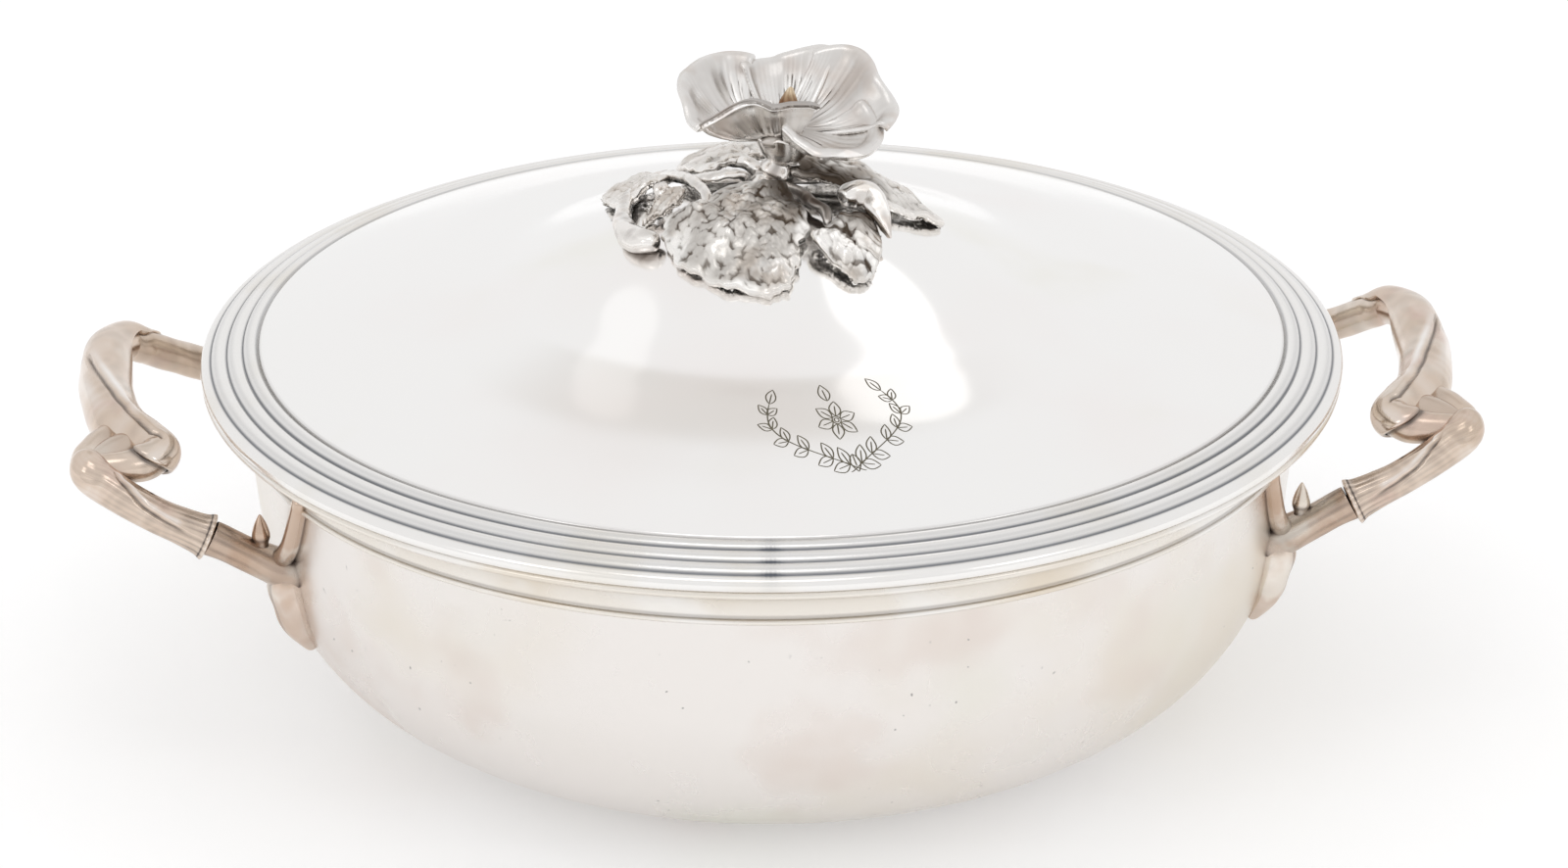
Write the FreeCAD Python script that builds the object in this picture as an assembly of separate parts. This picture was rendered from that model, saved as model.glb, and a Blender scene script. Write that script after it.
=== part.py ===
import FreeCAD, Part
import math
import os

# Covered dish in silver: a round bowl with two branch handles, and a lid with a reeded
# edge and a flower finial. Millimetres, +Z up. The origin is on the table under the
# middle of the bowl, +X runs along the two handles and -Y is the front.

# Bowl: one raised sheet with a flat bottom
bowl_height = 77.0
bowl_wall_radius = 115.9
bowl_lean_angle = 4.7
bowl_curve_radius = 44.0
bowl_curve_turn = 30.0
bowl_bottom_curve_radius = 60.0
bowl_sheet = 1.4

# Rim band: moulded wire soldered round the outside of the bowl's mouth
rim_band_height = 10.7
rim_band_reach = 8.2
rim_bead_radius = 0.65
rim_bead_reach = 1.6
rim_roll_radius = 0.75

# Lid: domed sheet on a reeded border, with a bezel that drops into the bowl
lid_seat_gap = 0.1
lid_edge_rise = 5.8
lid_peak_rise = 30.0
lid_sheet = 1.3
lid_profile_shares = ((0.0, 1.0), (0.2, 0.88), (0.33, 0.69), (0.44, 0.53), (0.55, 0.405),
                      (0.77, 0.222), (1.0, 0.0))
bezel_gap = 0.45
bezel_sheet = 1.2
bezel_drop = 6.5

# Reeded border: three reeds between grooves and one rounded outer reed
plate_groove_width = 0.6
reed_widths = (2.9, 3.5, 3.5)
outer_reed_width = 2.1
reed_fall_share = 0.27
reed_crown = 0.8
outer_reed_crown_share = 0.45
border_sheet = 2.0
border_lap = 3.6
border_seat_width = 5.0

# Handles: a branch bent into a loop, knotted to a stem, on two root castings
leg_spread = 44.5
root_drop = 31.0
grip_standoff = 41.6
grip_rise = 24.0
grip_radius = 5.7
stem_radius = 4.2
collar_rim = 0.5
collar_width = 1.3
stub_radius = 3.3
junction_radius = 5.2
junction_depth = 3.0
lobe_drop = 18.5
lobe_width = 10.0
lobe_depth = 4.4
brace_radius = 2.7
brace_lean_angle = 6.5
thorn_radius = 1.7
thorn_length = 10.0
thorn_place_share = 0.45
fold_width = 6.6
fold_thickness = 2.6

# Finial: flower on a stalk, held through the lid by a stud, washer and nut
stud_radius = 2.5
stud_hole_gap = 0.2
stud_length = 9.0
washer_radius = 8.0
washer_thickness = 1.2
washer_gap = 0.05
nut_across = 10.0
nut_height = 4.0
knob_radius = 5.0
knob_height = 3.4
stalk_radius = 2.9
stalk_height = 3.2
flower_lean = 3.0
calyx_radius = 5.8
calyx_height = 3.6
throat_radius = 3.3
flower_radius = 24.0
flower_rise = 14.5
petal_sheet = 1.2
petal_seat_gap = 0.05
stalk_sides = 12
pistil_radius = 2.2
pistil_height = 13.0

# Leaves, twigs and buds round the foot of the flower
cluster_reach = 38.0
leaf_sheet = 1.6
leaf_edge_lift = 0.4
leaf_crown_lift = 4.0
vine_radius = 1.5
vine_lift = 2.4
bud_radius = 3.0

# Sizes that follow from those above
root_height = bowl_height - root_drop
rim_reach_radius = bowl_wall_radius + rim_band_reach
lid_seat_height = bowl_height + lid_seat_gap
lid_edge_height = lid_seat_height + lid_edge_rise
reed_start_radius = rim_reach_radius - outer_reed_width - sum(reed_widths)
lid_edge_radius = reed_start_radius - plate_groove_width

cut_over = 2.0
limb_sides = 10
chords_per_curve = 2
dome_chords = 6


def vec(x, y, z):
    return FreeCAD.Vector(x, y, z)


def polar(radius, angle, height):
    turn = math.radians(angle)
    return vec(radius * math.cos(turn), radius * math.sin(turn), height)


def save(name, shape):
    shape.exportStep("parts/%s.step" % name)


def largest(shape):
    return max(shape.Solids, key=lambda solid: solid.Volume)


def seated(shape, *carriers):
    # what is left of a piece where the pieces that carry it are cut out of it
    for carrier in carriers:
        shape = shape.cut(carrier)
    return largest(shape)


def lines(points):
    return [Part.LineSegment(a, b).toShape() for a, b in zip(points, points[1:]) if a != b]


def chords(start, middle, end):
    # a round stretch through three points, as a few straight chords
    curve = Part.Arc(start, middle, end).toShape()
    return curve.discretize(Number=chords_per_curve + 1)


def turned(points):
    # a closed outline in the XZ plane, turned once round the dish's axis
    face = Part.Face(Part.Wire(lines(points + points[:1])))
    return face.revolve(vec(0, 0, 0), vec(0, 0, 1), 360).Solids[0]


def ring(inner, outer, low, high):
    return turned([vec(inner, 0, low), vec(outer, 0, low), vec(outer, 0, high), vec(inner, 0, high)])


def directions(points):
    # direction of the path at each point, from the points before and after it
    last = len(points) - 1
    steps = [points[min(i + 1, last)] - points[max(i - 1, 0)] for i in range(last + 1)]
    return [step.normalize() for step in steps]


def facet(*corners):
    return Part.Face(Part.makePolygon(list(corners) + [corners[0]]))


def facets(rows):
    # flat triangles between each row of points and the next
    faces = []
    for low, high in zip(rows, rows[1:]):
        for k in range(len(low) - 1):
            faces.append(facet(low[k], low[k + 1], high[k + 1]))
            faces.append(facet(low[k], high[k + 1], high[k]))
    return faces


def closed(faces):
    return Part.Solid(Part.Shell(faces))


def limb(points, widths, depths=None, up=None, sides=limb_sides):
    # a branch: many-sided sections square to the path, with flat triangles between them;
    # widths and depths are half sizes across and along the carried up direction
    depths = depths or widths
    side = up or vec(0, 0, 1)
    rows = []
    for point, along, width, depth in zip(points, directions(points), widths, depths):
        side = (side - along * side.dot(along)).normalize()
        cross = along.cross(side)
        row = []
        for k in range(sides):
            turn = 2 * math.pi * (k + 0.5) / sides
            row.append(point + side * (depth * math.cos(turn)) + cross * (width * math.sin(turn)))
        rows.append(row + row[:1])
    return closed(facets(rows) + [facet(*rows[0][:-1]), facet(*rows[-1][:-1])])


def sheet(rows, thickness):
    # a thin leaf or petal: rows of points over its face, thickened square to that face
    last_row, last_place = len(rows) - 1, len(rows[0]) - 1
    back = []
    for i, row in enumerate(rows):
        back_row = []
        for k, point in enumerate(row):
            along = rows[min(i + 1, last_row)][k] - rows[max(i - 1, 0)][k]
            across = row[min(k + 1, last_place)] - row[max(k - 1, 0)]
            back_row.append(point - along.cross(across).normalize() * thickness)
        back.append(back_row)
    faces = facets(rows) + facets(back)
    for front_edge, back_edge in ((rows[0], back[0]), (rows[-1], back[-1]),
                                  ([row[0] for row in rows], [row[0] for row in back]),
                                  ([row[-1] for row in rows], [row[-1] for row in back])):
        faces += facets([front_edge, back_edge])
    return closed(faces)


def bowl_wall(height):
    # outside radius of the bowl's leaning wall at a height
    return bowl_wall_radius - (bowl_height - height) * math.tan(math.radians(bowl_lean_angle))


def bowl_outline(inset):
    # points of the outside of the bowl, or of its inside when inset by the sheet
    lean = math.radians(90 - bowl_lean_angle)
    turn = math.radians(bowl_curve_turn)
    upper = bowl_curve_radius - inset
    lower = bowl_bottom_curve_radius - inset
    drop = bowl_curve_radius * (math.cos(turn) - math.cos(lean))
    curve_top = drop + bowl_bottom_curve_radius * (1 - math.cos(turn))
    centre_up = vec(bowl_wall(curve_top) - bowl_curve_radius * math.sin(lean), 0,
                    curve_top + bowl_curve_radius * math.cos(lean))
    centre_low = centre_up + vec(-math.sin(turn), 0, math.cos(turn)) * (bowl_bottom_curve_radius
                                                                        - bowl_curve_radius)

    def on(centre, radius, angle):
        return centre + vec(math.sin(angle), 0, -math.cos(angle)) * radius

    side_inset = inset / math.sin(lean)
    return [vec(bowl_wall_radius - side_inset, 0, bowl_height),
            on(centre_up, upper, lean), on(centre_up, upper, (lean + turn) / 2),
            on(centre_up, upper, turn), on(centre_low, lower, turn / 2), on(centre_low, lower, 0)]


def bowl_side(points):
    return points[:1] + chords(*points[1:4]) + chords(*points[3:6])[1:]


def bowl_solid():
    # everything inside the outer skin, used to seat what is soldered to the bowl
    return turned(bowl_side(bowl_outline(0)) + [vec(0, 0, 0), vec(0, 0, bowl_height)])


def bowl_shell():
    inside = bowl_side(bowl_outline(bowl_sheet))
    axis = [vec(0, 0, 0), vec(0, 0, bowl_sheet)]
    return turned(bowl_side(bowl_outline(0)) + axis + inside[::-1])


def rim_band():
    # from below: a bead, a hollow and a roll, flush with the bowl's top
    low = bowl_height - rim_band_height
    wall = bowl_wall(low)
    bead = wall + rim_bead_reach - rim_bead_radius
    bead_top = low + 2 * rim_bead_radius
    roll = rim_reach_radius - rim_roll_radius
    roll_low = bowl_height - 2 * rim_roll_radius
    hollow = vec(roll, 0, bead_top)
    bend = vec(-math.sqrt(0.5) * (roll - bead), 0, math.sqrt(0.5) * (roll_low - bead_top))
    outline = [vec(wall, 0, low)]
    outline += chords(vec(bead, 0, low), vec(bead + rim_bead_radius, 0, low + rim_bead_radius),
                      vec(bead, 0, bead_top))
    outline += chords(vec(bead, 0, bead_top), hollow + bend, vec(roll, 0, roll_low))[1:]
    outline += chords(vec(roll, 0, roll_low), vec(rim_reach_radius, 0, roll_low + rim_roll_radius),
                      vec(roll, 0, bowl_height))[1:]
    return turned(outline + [vec(bowl_wall_radius, 0, bowl_height)])


def dome_curve(lowering):
    points = [vec(share * lid_edge_radius, 0, lid_edge_height + rise * lid_peak_rise - lowering)
              for share, rise in lid_profile_shares]
    curve = Part.BSplineCurve()
    curve.interpolate(Points=points)
    return curve


dome = dome_curve(0)


def dome_height(radius):
    # height of the lid's top at a distance from the axis, found by halving
    low, high = dome.FirstParameter, dome.LastParameter
    for halving in range(30):
        middle = (low + high) / 2
        if dome.value(middle).x < radius:
            low = middle
        else:
            high = middle
    return dome.value(low).z


def on_dome(radius, angle, lift):
    return polar(radius, angle, dome_height(radius) + lift)


def dome_points(lowering):
    return dome_curve(lowering).toShape().discretize(Number=dome_chords + 1)


def dome_solid():
    # the lid's domed sheet before its hole is drilled
    return turned(dome_points(0) + dome_points(lid_sheet)[::-1])


def lid_shell():
    hole = ring(0, stud_radius + stud_hole_gap, lid_edge_height, dome_height(0) + cut_over)
    return largest(dome_solid().cut(hole))


def border_under(radius):
    # the border's underside rises from its flat seat to its inner edge
    seat_inner = rim_reach_radius - border_seat_width
    inner = lid_edge_radius - border_lap
    rise = lid_edge_height - lid_sheet - border_sheet - lid_seat_height
    return lid_seat_height + rise * max(seat_inner - radius, 0) / (seat_inner - inner)


def reeded_border():
    inner = lid_edge_radius - border_lap
    seat_inner = rim_reach_radius - border_seat_width
    ledge = lid_edge_height - lid_sheet
    groove = vec(reed_start_radius, 0, lid_edge_height - lid_sheet * reed_fall_share)
    outline = [vec(seat_inner, 0, lid_seat_height), vec(inner, 0, border_under(inner)), vec(inner, 0, ledge),
               vec(reed_start_radius, 0, ledge), groove]
    for width in reed_widths:
        across = vec(width, 0, -width * reed_fall_share)
        lift = vec(-across.z, 0, across.x).normalize() * reed_crown
        outline += chords(groove, groove + across / 2 + lift, groove + across)[1:]
        groove = groove + across
    tip = vec(rim_reach_radius, 0, lid_seat_height)
    fall = tip - groove
    out = vec(-fall.z, 0, fall.x).normalize()
    outline += chords(groove, groove + fall / 2 + out * (fall.Length * outer_reed_crown_share), tip)[1:]
    return turned(outline)


def bezel():
    low = bowl_height - bezel_drop
    outer = bowl_wall(low) - bowl_sheet / math.cos(math.radians(bowl_lean_angle)) - bezel_gap
    inner = outer - bezel_sheet
    return turned([vec(inner, 0, low), vec(outer, 0, low), vec(outer, 0, border_under(outer)),
                   vec(inner, 0, border_under(inner))])


# Handle places: shares of the way out from the wall, of the leg spread to the rear, and of
# the rise from root to grip; the last share is of the radius of the piece that is named
collar_shares = (0.393, 0.375)
branch_shares = ((0.393, 1.0, 0.375, 0.6), (0.6, 0.97, 0.5, 0.58), (0.76, 0.91, 0.65, 0.58),
                 (0.86, 0.83, 0.79, 0.62), (0.875, 0.82, 0.81, 0.85), (0.97, 0.73, 0.91, 0.94),
                 (1.035, 0.55, 0.96, 1.0), (1.03, 0.28, 0.98, 1.02), (0.99, 0.0, 0.98, 1.02),
                 (0.93, -0.28, 0.99, 0.98), (0.83, -0.5, 1.0, 0.92), (0.72, -0.63, 0.99, 0.86),
                 (0.65, -0.72, 0.96, 0.76), (0.69, -0.82, 0.92, 0.68), (0.82, -0.88, 0.9, 0.68),
                 (0.95, -0.9, 0.92, 0.66), (1.03, -0.92, 0.93, 0.5))
stem_shares = ((0.66, -1.0, 0.61, 0.95), (0.85, -1.0, 0.84, 1.0), (0.95, -0.99, 0.98, 1.05),
               (0.995, -0.94, 1.05, 0.98), (0.98, -0.87, 1.07, 0.62))
fold_shares = ((1.04, -0.86, 1.0, 0.5), (0.99, -0.75, 1.13, 0.9), (0.89, -0.69, 1.22, 1.0),
               (0.77, -0.68, 1.24, 1.0), (0.66, -0.72, 1.17, 1.0), (0.59, -0.78, 1.02, 0.7))
stub_shares = ((0.0, 1.55), (0.3, 1.1), (0.65, 0.9), (1.0, 1.08))
lobe_shares = ((0.0, 0.55, 0.7), (0.22, 0.85, 1.0), (0.5, 1.0, 0.95), (0.75, 0.75, 0.7),
               (0.93, 0.35, 0.4), (1.0, 0.12, 0.15))
lobe_seat_share = 0.25
brace_shares = ((0.0, 0.0, 1.2), (0.45, 0.5, 1.0), (1.0, 1.0, 0.8))
brace_seat_share = 0.4
thorn_shares = ((0.0, 1.0), (0.45, 1.0), (0.7, 1.15), (0.88, 0.8), (1.0, 0.2))


def leg_root():
    # distance along the handle axis at which a leg leaves the wall
    return math.sqrt(bowl_wall(root_height) ** 2 - leg_spread ** 2)


def handle_point(out, rear, rise):
    return vec(leg_root() + out * grip_standoff, rear * leg_spread, root_height + rise * grip_rise)


def collar_point():
    return handle_point(collar_shares[0], -1, collar_shares[1])


def leg_direction():
    return (collar_point() - handle_point(0, -1, 0)).normalize()


def handle_branch():
    points = [handle_point(*row[:3]) for row in branch_shares]
    return limb(points, [row[3] * grip_radius for row in branch_shares])


def handle_stem():
    # the ring at its lower end is turned on the stem and butts on the root's stub
    start = collar_point()
    along = leg_direction()
    ring_end = start + along * collar_width
    points = [start, ring_end, ring_end + along * collar_rim]
    points += [handle_point(*row[:3]) for row in stem_shares]
    radii = [stem_radius + collar_rim, stem_radius + collar_rim, stem_radius]
    return limb(points, radii + [row[3] * stem_radius for row in stem_shares])


def handle_fold():
    # a flat shoot that starts at the elbow and laps over the turn of the branch
    points = [handle_point(*row[:3]) for row in fold_shares]
    return limb(points, [row[3] * fold_width / 2 for row in fold_shares],
                [row[3] * fold_thickness / 2 for row in fold_shares])


def skin_point(angle, height, lift):
    # a point just off the bowl's outside, on its wall or on its lower curve
    curve_top = bowl_outline(0)[1]
    if height >= curve_top.z:
        return polar(bowl_wall(height) + lift, angle, height)
    radius = bowl_curve_radius
    lean = math.radians(90 - bowl_lean_angle)
    centre = curve_top - vec(math.sin(lean), 0, -math.cos(lean)) * radius
    fall = math.acos((centre.z - height) / radius)
    return polar(centre.x + (radius + lift) * math.sin(fall), angle,
                 centre.z - (radius + lift) * math.cos(fall))


def root_lobe(angle):
    # a leaf-shaped foot that lies down the bowl's wall below the junction
    top = root_height + junction_radius / 2
    length = lobe_drop + junction_radius / 2
    points = [skin_point(angle, top - share * length, lobe_depth * depth * lobe_seat_share)
              for share, width, depth in lobe_shares]
    return limb(points, [lobe_width / 2 * row[1] for row in lobe_shares],
                [lobe_depth * row[2] for row in lobe_shares], up=polar(1, angle, 0))


def root_brace(angle):
    # a short shoot from the junction up to the rim band
    low = root_height - junction_radius / 2
    high = bowl_height - rim_band_height + rim_bead_radius
    points = [skin_point(angle - brace_lean_angle * lean, low + (high - low) * rise,
                         brace_radius * brace_seat_share) for lean, rise, size in brace_shares]
    return limb(points, [brace_radius * row[2] for row in brace_shares])


def front_root():
    # stub, lobe, brace and a thorn, cast together
    angle = -math.degrees(math.asin(leg_spread / bowl_wall(root_height)))
    start = handle_point(0, -1, 0) - leg_direction() * junction_depth
    reach = collar_point() - start
    stub = limb([start + reach * share for share, size in stub_shares],
                [stub_radius * size for share, size in stub_shares])
    foot = start + reach * thorn_place_share
    thorn = limb([foot + vec(0, 0, thorn_length * rise) for rise, size in thorn_shares],
                 [thorn_radius * size for rise, size in thorn_shares], up=vec(1, 0, 0))
    return stub.fuse([root_lobe(angle), root_brace(angle), thorn])


def mirrored_x(shape):
    return shape.mirror(vec(0, 0, 0), vec(1, 0, 0))


def mirrored_y(shape):
    return shape.mirror(vec(0, 0, 0), vec(0, 1, 0))


# Flower places: for each petal, angles round the flower's centre in degrees, then shares
# of the flower's radius and rise at its rim
petal_shares = {
    "petal_left": ((203, 0.83, 0.6), (186, 0.95, 0.82), (168, 0.97, 0.97), (150, 0.92, 1.0),
                   (134, 0.82, 0.97), (121, 0.68, 0.88)),
    "petal_rear": ((117, 0.68, 0.95), (104, 0.8, 1.06), (92, 0.84, 1.06), (80, 0.83, 1.02),
                   (71, 0.76, 0.96)),
    "petal_rear_right": ((67, 0.84, 1.02), (52, 0.97, 1.06), (36, 1.04, 1.02), (20, 1.05, 0.88),
                         (3, 1.02, 0.72)),
    "petal_front_right": ((-1, 0.86, 0.66), (-20, 0.92, 0.52), (-40, 0.93, 0.36), (-60, 0.86, 0.33),
                          (-76, 0.66, 0.45), (-84, 0.48, 0.6)),
    "petal_front": ((-88, 0.42, 0.78), (-104, 0.47, 0.84), (-122, 0.54, 0.82), (-140, 0.66, 0.7),
                    (-153, 0.82, 0.58)),
}
petal_step_shares = (0.0, 0.2, 0.4, 0.6, 0.8, 1.0)
petal_flare_share = 0.8
knob_shares = ((-0.2, 0.9), (0.5, 1.0), (1.0, 0.6))
calyx_shares = ((0.0, 0.55), (0.33, 0.8), (1.0, 1.0))
pistil_shares = ((0.0, 0.0, 0.7), (0.6, 0.5, 1.0), (0.85, 0.8, 0.6), (1.0, 1.0, 0.15))

# Leaf places: angle of the midrib, shares of the cluster's reach at base and tip, share of
# it for the half width, and share of the crown lift
leaf_shares = {
    "leaf_front": (-112, 0.16, 0.98, 0.4, 1.0),
    "leaf_front_right": (-54, 0.42, 0.98, 0.19, 0.9),
    "leaf_rear_right": (12, 0.34, 1.02, 0.22, 0.9),
    "leaf_rear_left": (115, 0.3, 0.85, 0.27, 1.2),
    "leaf_far_left": (140, 0.68, 1.12, 0.19, 0.8),
    "leaflet_left": (169, 0.36, 0.66, 0.12, 0.9),
}
leaf_width_shares = ((0.0, 0.35), (0.12, 0.72), (0.3, 0.97), (0.52, 1.0), (0.74, 0.82), (0.9, 0.5),
                     (1.0, 0.14))
leaf_arch_shares = ((-1.0, 0.0), (-0.6, 0.87), (-0.2, 1.0), (0.2, 1.0), (0.6, 0.87), (1.0, 0.0))
leaf_tip_fall_share = 0.85
vine_shares = {
    "vine_left": ((0.12, 170, 0.8), (0.3, 160, 1.0), (0.5, 150, 1.0), (0.72, 158, 1.1),
                  (0.84, 172, 1.2), (0.84, 190, 1.3)),
    "vine_rear_left": ((0.1, 118, 0.8), (0.22, 117, 1.0), (0.32, 116, 1.0)),
    "vine_right": ((0.1, 5, 0.8), (0.22, 8, 1.0), (0.36, 11, 1.0)),
    "vine_front_right": ((0.1, -50, 0.8), (0.26, -54, 1.0), (0.44, -57, 1.0)),
}
bud_shares = {
    "bud_left": ((0.84, 193, 0.7), (0.83, 200, 1.0), (0.82, 208, 1.0), (0.81, 216, 0.5)),
    "bud_right": ((0.5, -20, 0.6), (0.56, -24, 1.0), (0.64, -29, 0.9), (0.74, -33, 0.3)),
}


def flower_centre():
    top = dome_height(0) + knob_height + stalk_height
    return vec(flower_lean, 0, top)


def finial_stem():
    # stud below the lid, knob seated on its crown and the stalk that leans to the calyx
    peak = dome_height(0)
    stud = ring(0, stud_radius, peak - stud_length, peak + knob_height / 2)
    knob = limb([vec(0, 0, peak + share * knob_height) for share, size in knob_shares],
                [knob_radius * size for share, size in knob_shares], up=vec(1, 0, 0), sides=stalk_sides)
    stalk = limb([vec(0, 0, peak + knob_height / 2), vec(flower_lean / 3, 0, peak + knob_height),
                  flower_centre()], [stalk_radius] * 3, up=vec(1, 0, 0), sides=stalk_sides)
    return largest(knob.cut(dome_solid()).fuse([stalk, stud]))


def calyx():
    return limb([flower_centre() + vec(0, 0, calyx_height * share) for share, size in calyx_shares],
                [calyx_radius * size for share, size in calyx_shares], up=vec(1, 0, 0), sides=stalk_sides)


def petal(rim):
    centre = flower_centre() + vec(0, 0, calyx_height + petal_sheet + petal_seat_gap)
    rows = []
    for step in petal_step_shares:
        row = []
        for angle, radius_share, rise_share in rim:
            radius = throat_radius + (flower_radius * radius_share - throat_radius) * step
            rise = flower_rise * rise_share * step ** petal_flare_share
            row.append(centre + polar(radius, angle, rise))
        rows.append(row)
    if rim[0][0] > rim[-1][0]:
        rows = [row[::-1] for row in rows]
    return sheet(rows, petal_sheet)


def pistil():
    foot = flower_centre() + vec(0, 0, calyx_height)
    points = [foot + vec(flower_lean / 2 * lean, 0, pistil_height * rise)
              for rise, lean, size in pistil_shares]
    return limb(points, [pistil_radius * row[2] for row in pistil_shares], up=vec(1, 0, 0))


def leaf(angle, base, tip, half_width, crown):
    along = polar(1, angle, 0)
    across = polar(1, angle + 90, 0)
    rows = []
    for place, width in leaf_width_shares:
        midrib = along * (cluster_reach * (base + (tip - base) * place))
        row = []
        for side, arch in leaf_arch_shares:
            spot = midrib + across * (side * width * half_width * cluster_reach)
            fall = arch * (1 - leaf_tip_fall_share * place ** 3)
            lift = leaf_edge_lift + leaf_sheet + leaf_crown_lift * crown * fall
            row.append(vec(spot.x, spot.y, dome_height(math.hypot(spot.x, spot.y)) + lift))
        rows.append(row)
    return sheet(rows, leaf_sheet)


def vine(path, radius):
    points = [on_dome(share * cluster_reach, angle, vine_lift) for share, angle, thick in path]
    return limb(points, [radius * thick for share, angle, thick in path], sides=8)


def washer_top():
    # the washer's rim bears on the underside of the dome's crown
    first, second = dome_points(lid_sheet)[:2]
    slope = (second.z - first.z) / (second.x - first.x)
    return first.z + slope * washer_radius - washer_gap


def nut():
    top = washer_top() - washer_thickness
    plate = Part.makePolygon([polar(nut_across / math.sqrt(3), 60 * k, top - nut_height)
                              for k in range(7)])
    block = Part.Face(plate).extrude(vec(0, 0, nut_height))
    return block.cut(ring(0, stud_radius + stud_hole_gap, top - nut_height - cut_over, top + cut_over))


def washer():
    top = washer_top()
    return ring(stud_radius + stud_hole_gap, washer_radius, top - washer_thickness, top)


def main():
    os.makedirs("parts", exist_ok=True)
    band = rim_band()
    save("bowl_shell", bowl_shell())
    save("bowl_rim_band", band)

    stem = handle_stem()
    root = seated(front_root(), bowl_solid(), band, stem)
    rear_root = mirrored_y(root)
    branch = seated(handle_branch(), stem, rear_root)
    pieces = {"handle_stem": stem, "handle_branch": branch,
              "handle_fold": seated(handle_fold(), branch, stem),
              "handle_front_root": root, "handle_rear_root": rear_root}
    for name, shape in pieces.items():
        save(name + "_right", shape)
        save(name + "_left", mirrored_x(shape))

    save("lid_shell", lid_shell())
    save("lid_reeded_border", reeded_border())
    save("lid_bezel", bezel())
    save("finial_washer", washer())
    save("finial_nut", nut())
    stalk = finial_stem()
    cup = seated(calyx(), stalk)
    save("finial_stem", stalk)
    save("flower_calyx", cup)
    save("flower_pistil", seated(pistil(), cup))
    for name, rim in petal_shares.items():
        save(name, petal(rim))

    # each shoot butts on the stalk, and each leaf on the shoots and the leaves before it
    carriers = []
    for name, path in vine_shares.items():
        shoot = seated(vine(path, vine_radius), stalk)
        carriers.append(shoot)
        save(name, shoot)
    for name, path in bud_shares.items():
        save(name, seated(vine(path, bud_radius), dome_solid()))
    for name, values in leaf_shares.items():
        blade = seated(leaf(*values), *carriers)
        carriers.append(blade)
        save(name, blade)


main()
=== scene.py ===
import math

import bmesh
import bpy
import numpy as np
from mathutils import Matrix, Vector


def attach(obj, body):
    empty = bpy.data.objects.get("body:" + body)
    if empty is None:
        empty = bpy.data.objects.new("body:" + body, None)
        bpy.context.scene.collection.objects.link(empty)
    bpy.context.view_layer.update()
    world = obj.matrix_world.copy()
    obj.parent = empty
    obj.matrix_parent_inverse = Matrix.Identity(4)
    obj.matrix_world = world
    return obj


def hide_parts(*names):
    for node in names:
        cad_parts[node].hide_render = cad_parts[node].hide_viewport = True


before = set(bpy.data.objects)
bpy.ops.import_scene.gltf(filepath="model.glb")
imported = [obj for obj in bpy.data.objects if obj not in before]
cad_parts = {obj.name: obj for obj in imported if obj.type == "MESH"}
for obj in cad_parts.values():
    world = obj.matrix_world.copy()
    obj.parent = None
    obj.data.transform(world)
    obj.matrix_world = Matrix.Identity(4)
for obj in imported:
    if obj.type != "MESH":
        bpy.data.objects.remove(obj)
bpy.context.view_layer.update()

# The photographer's place: a long lens in front of the dish and a little to its left, looking
# down on the lid, with the right side a hair higher than the left.
view_aim = Vector((0.0026, -0.00016, 0.0551))
view_azimuth = math.radians(-3.5)
view_elevation = math.radians(24.019)
view_roll = math.radians(-0.2826)
view_distance = 0.854
view_lens = 88.33

view_back = Vector((math.sin(view_azimuth) * math.cos(view_elevation),
                    -math.cos(view_azimuth) * math.cos(view_elevation), math.sin(view_elevation)))
view_right = Vector((math.cos(view_azimuth), math.sin(view_azimuth), 0))
view_up = view_back.cross(view_right)
view_x = view_right * math.cos(view_roll) + view_up * math.sin(view_roll)
view_y = view_up * math.cos(view_roll) - view_right * math.sin(view_roll)
camera = bpy.data.objects.new("camera", bpy.data.cameras.new("camera"))
camera.data.lens = view_lens
camera.data.clip_start = 0.01
camera.matrix_world = Matrix.Translation(view_aim + view_back * view_distance) @ Matrix(
    (view_x, view_y, view_back)).transposed().to_4x4()
bpy.context.collection.objects.link(camera)
bpy.context.scene.camera = camera
bpy.context.scene.view_settings.view_transform = "Standard"


class Tone:
    """A shader socket. + - * on it add Math nodes; node() adds any other node."""

    def __init__(self, tree, socket=None):
        self.tree, self.socket = tree, socket

    def node(self, kind, settings=None, inputs=None, output=0):
        """A node of a kind with its settings and the values or links of its sockets; one output of it."""
        made = self.tree.nodes.new("ShaderNode" + kind)
        for name, value in (settings or {}).items():
            setattr(made, name, value)
        for name, value in (inputs or {}).items():
            socket = made.inputs[name]
            if isinstance(value, Tone):
                self.tree.links.new(socket, value.socket)
            else:
                socket.default_value = (*value, 1) if socket.type == "RGBA" else value
        return Tone(self.tree, made.outputs[output] if made.outputs else None)

    def maths(self, operation, *values):
        return self.node("Math", {"operation": operation}, dict(enumerate(values)))

    def __add__(self, other):
        return self.maths("ADD", self, other)

    def __sub__(self, other):
        return self.maths("SUBTRACT", self, other)

    def __rsub__(self, other):
        return self.maths("SUBTRACT", other, self)

    def __mul__(self, other):
        return self.maths("MULTIPLY", self, other)

    def rise(self, low, high):
        """0 below low, 1 above high and a smooth step between."""
        return self.node("MapRange", {"interpolation_type": "SMOOTHSTEP"},
                         {"Value": self, "From Min": low, "From Max": high})

    def blend(self, low, high):
        """The colour low where this tone is 0, and high where it is 1."""
        return self.node("Mix", {"data_type": "RGBA"}, {0: self, 6: low, 7: high}, 2)


def blank(owner):
    """The emptied shader of a material or a world."""
    owner.use_nodes = True
    owner.node_tree.nodes.clear()
    return Tone(owner.node_tree)


# The table: a plain white sheet, dull, that glows a little for the eye and for the metal, so that
# it reads as white and still takes the dish's soft shadow.
table_size = 6.0
table_colour = (0.84, 0.84, 0.84)
table_glow = 0.25
camera_ray, glossy_ray, transmitted_ray = 0, 3, 6

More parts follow.
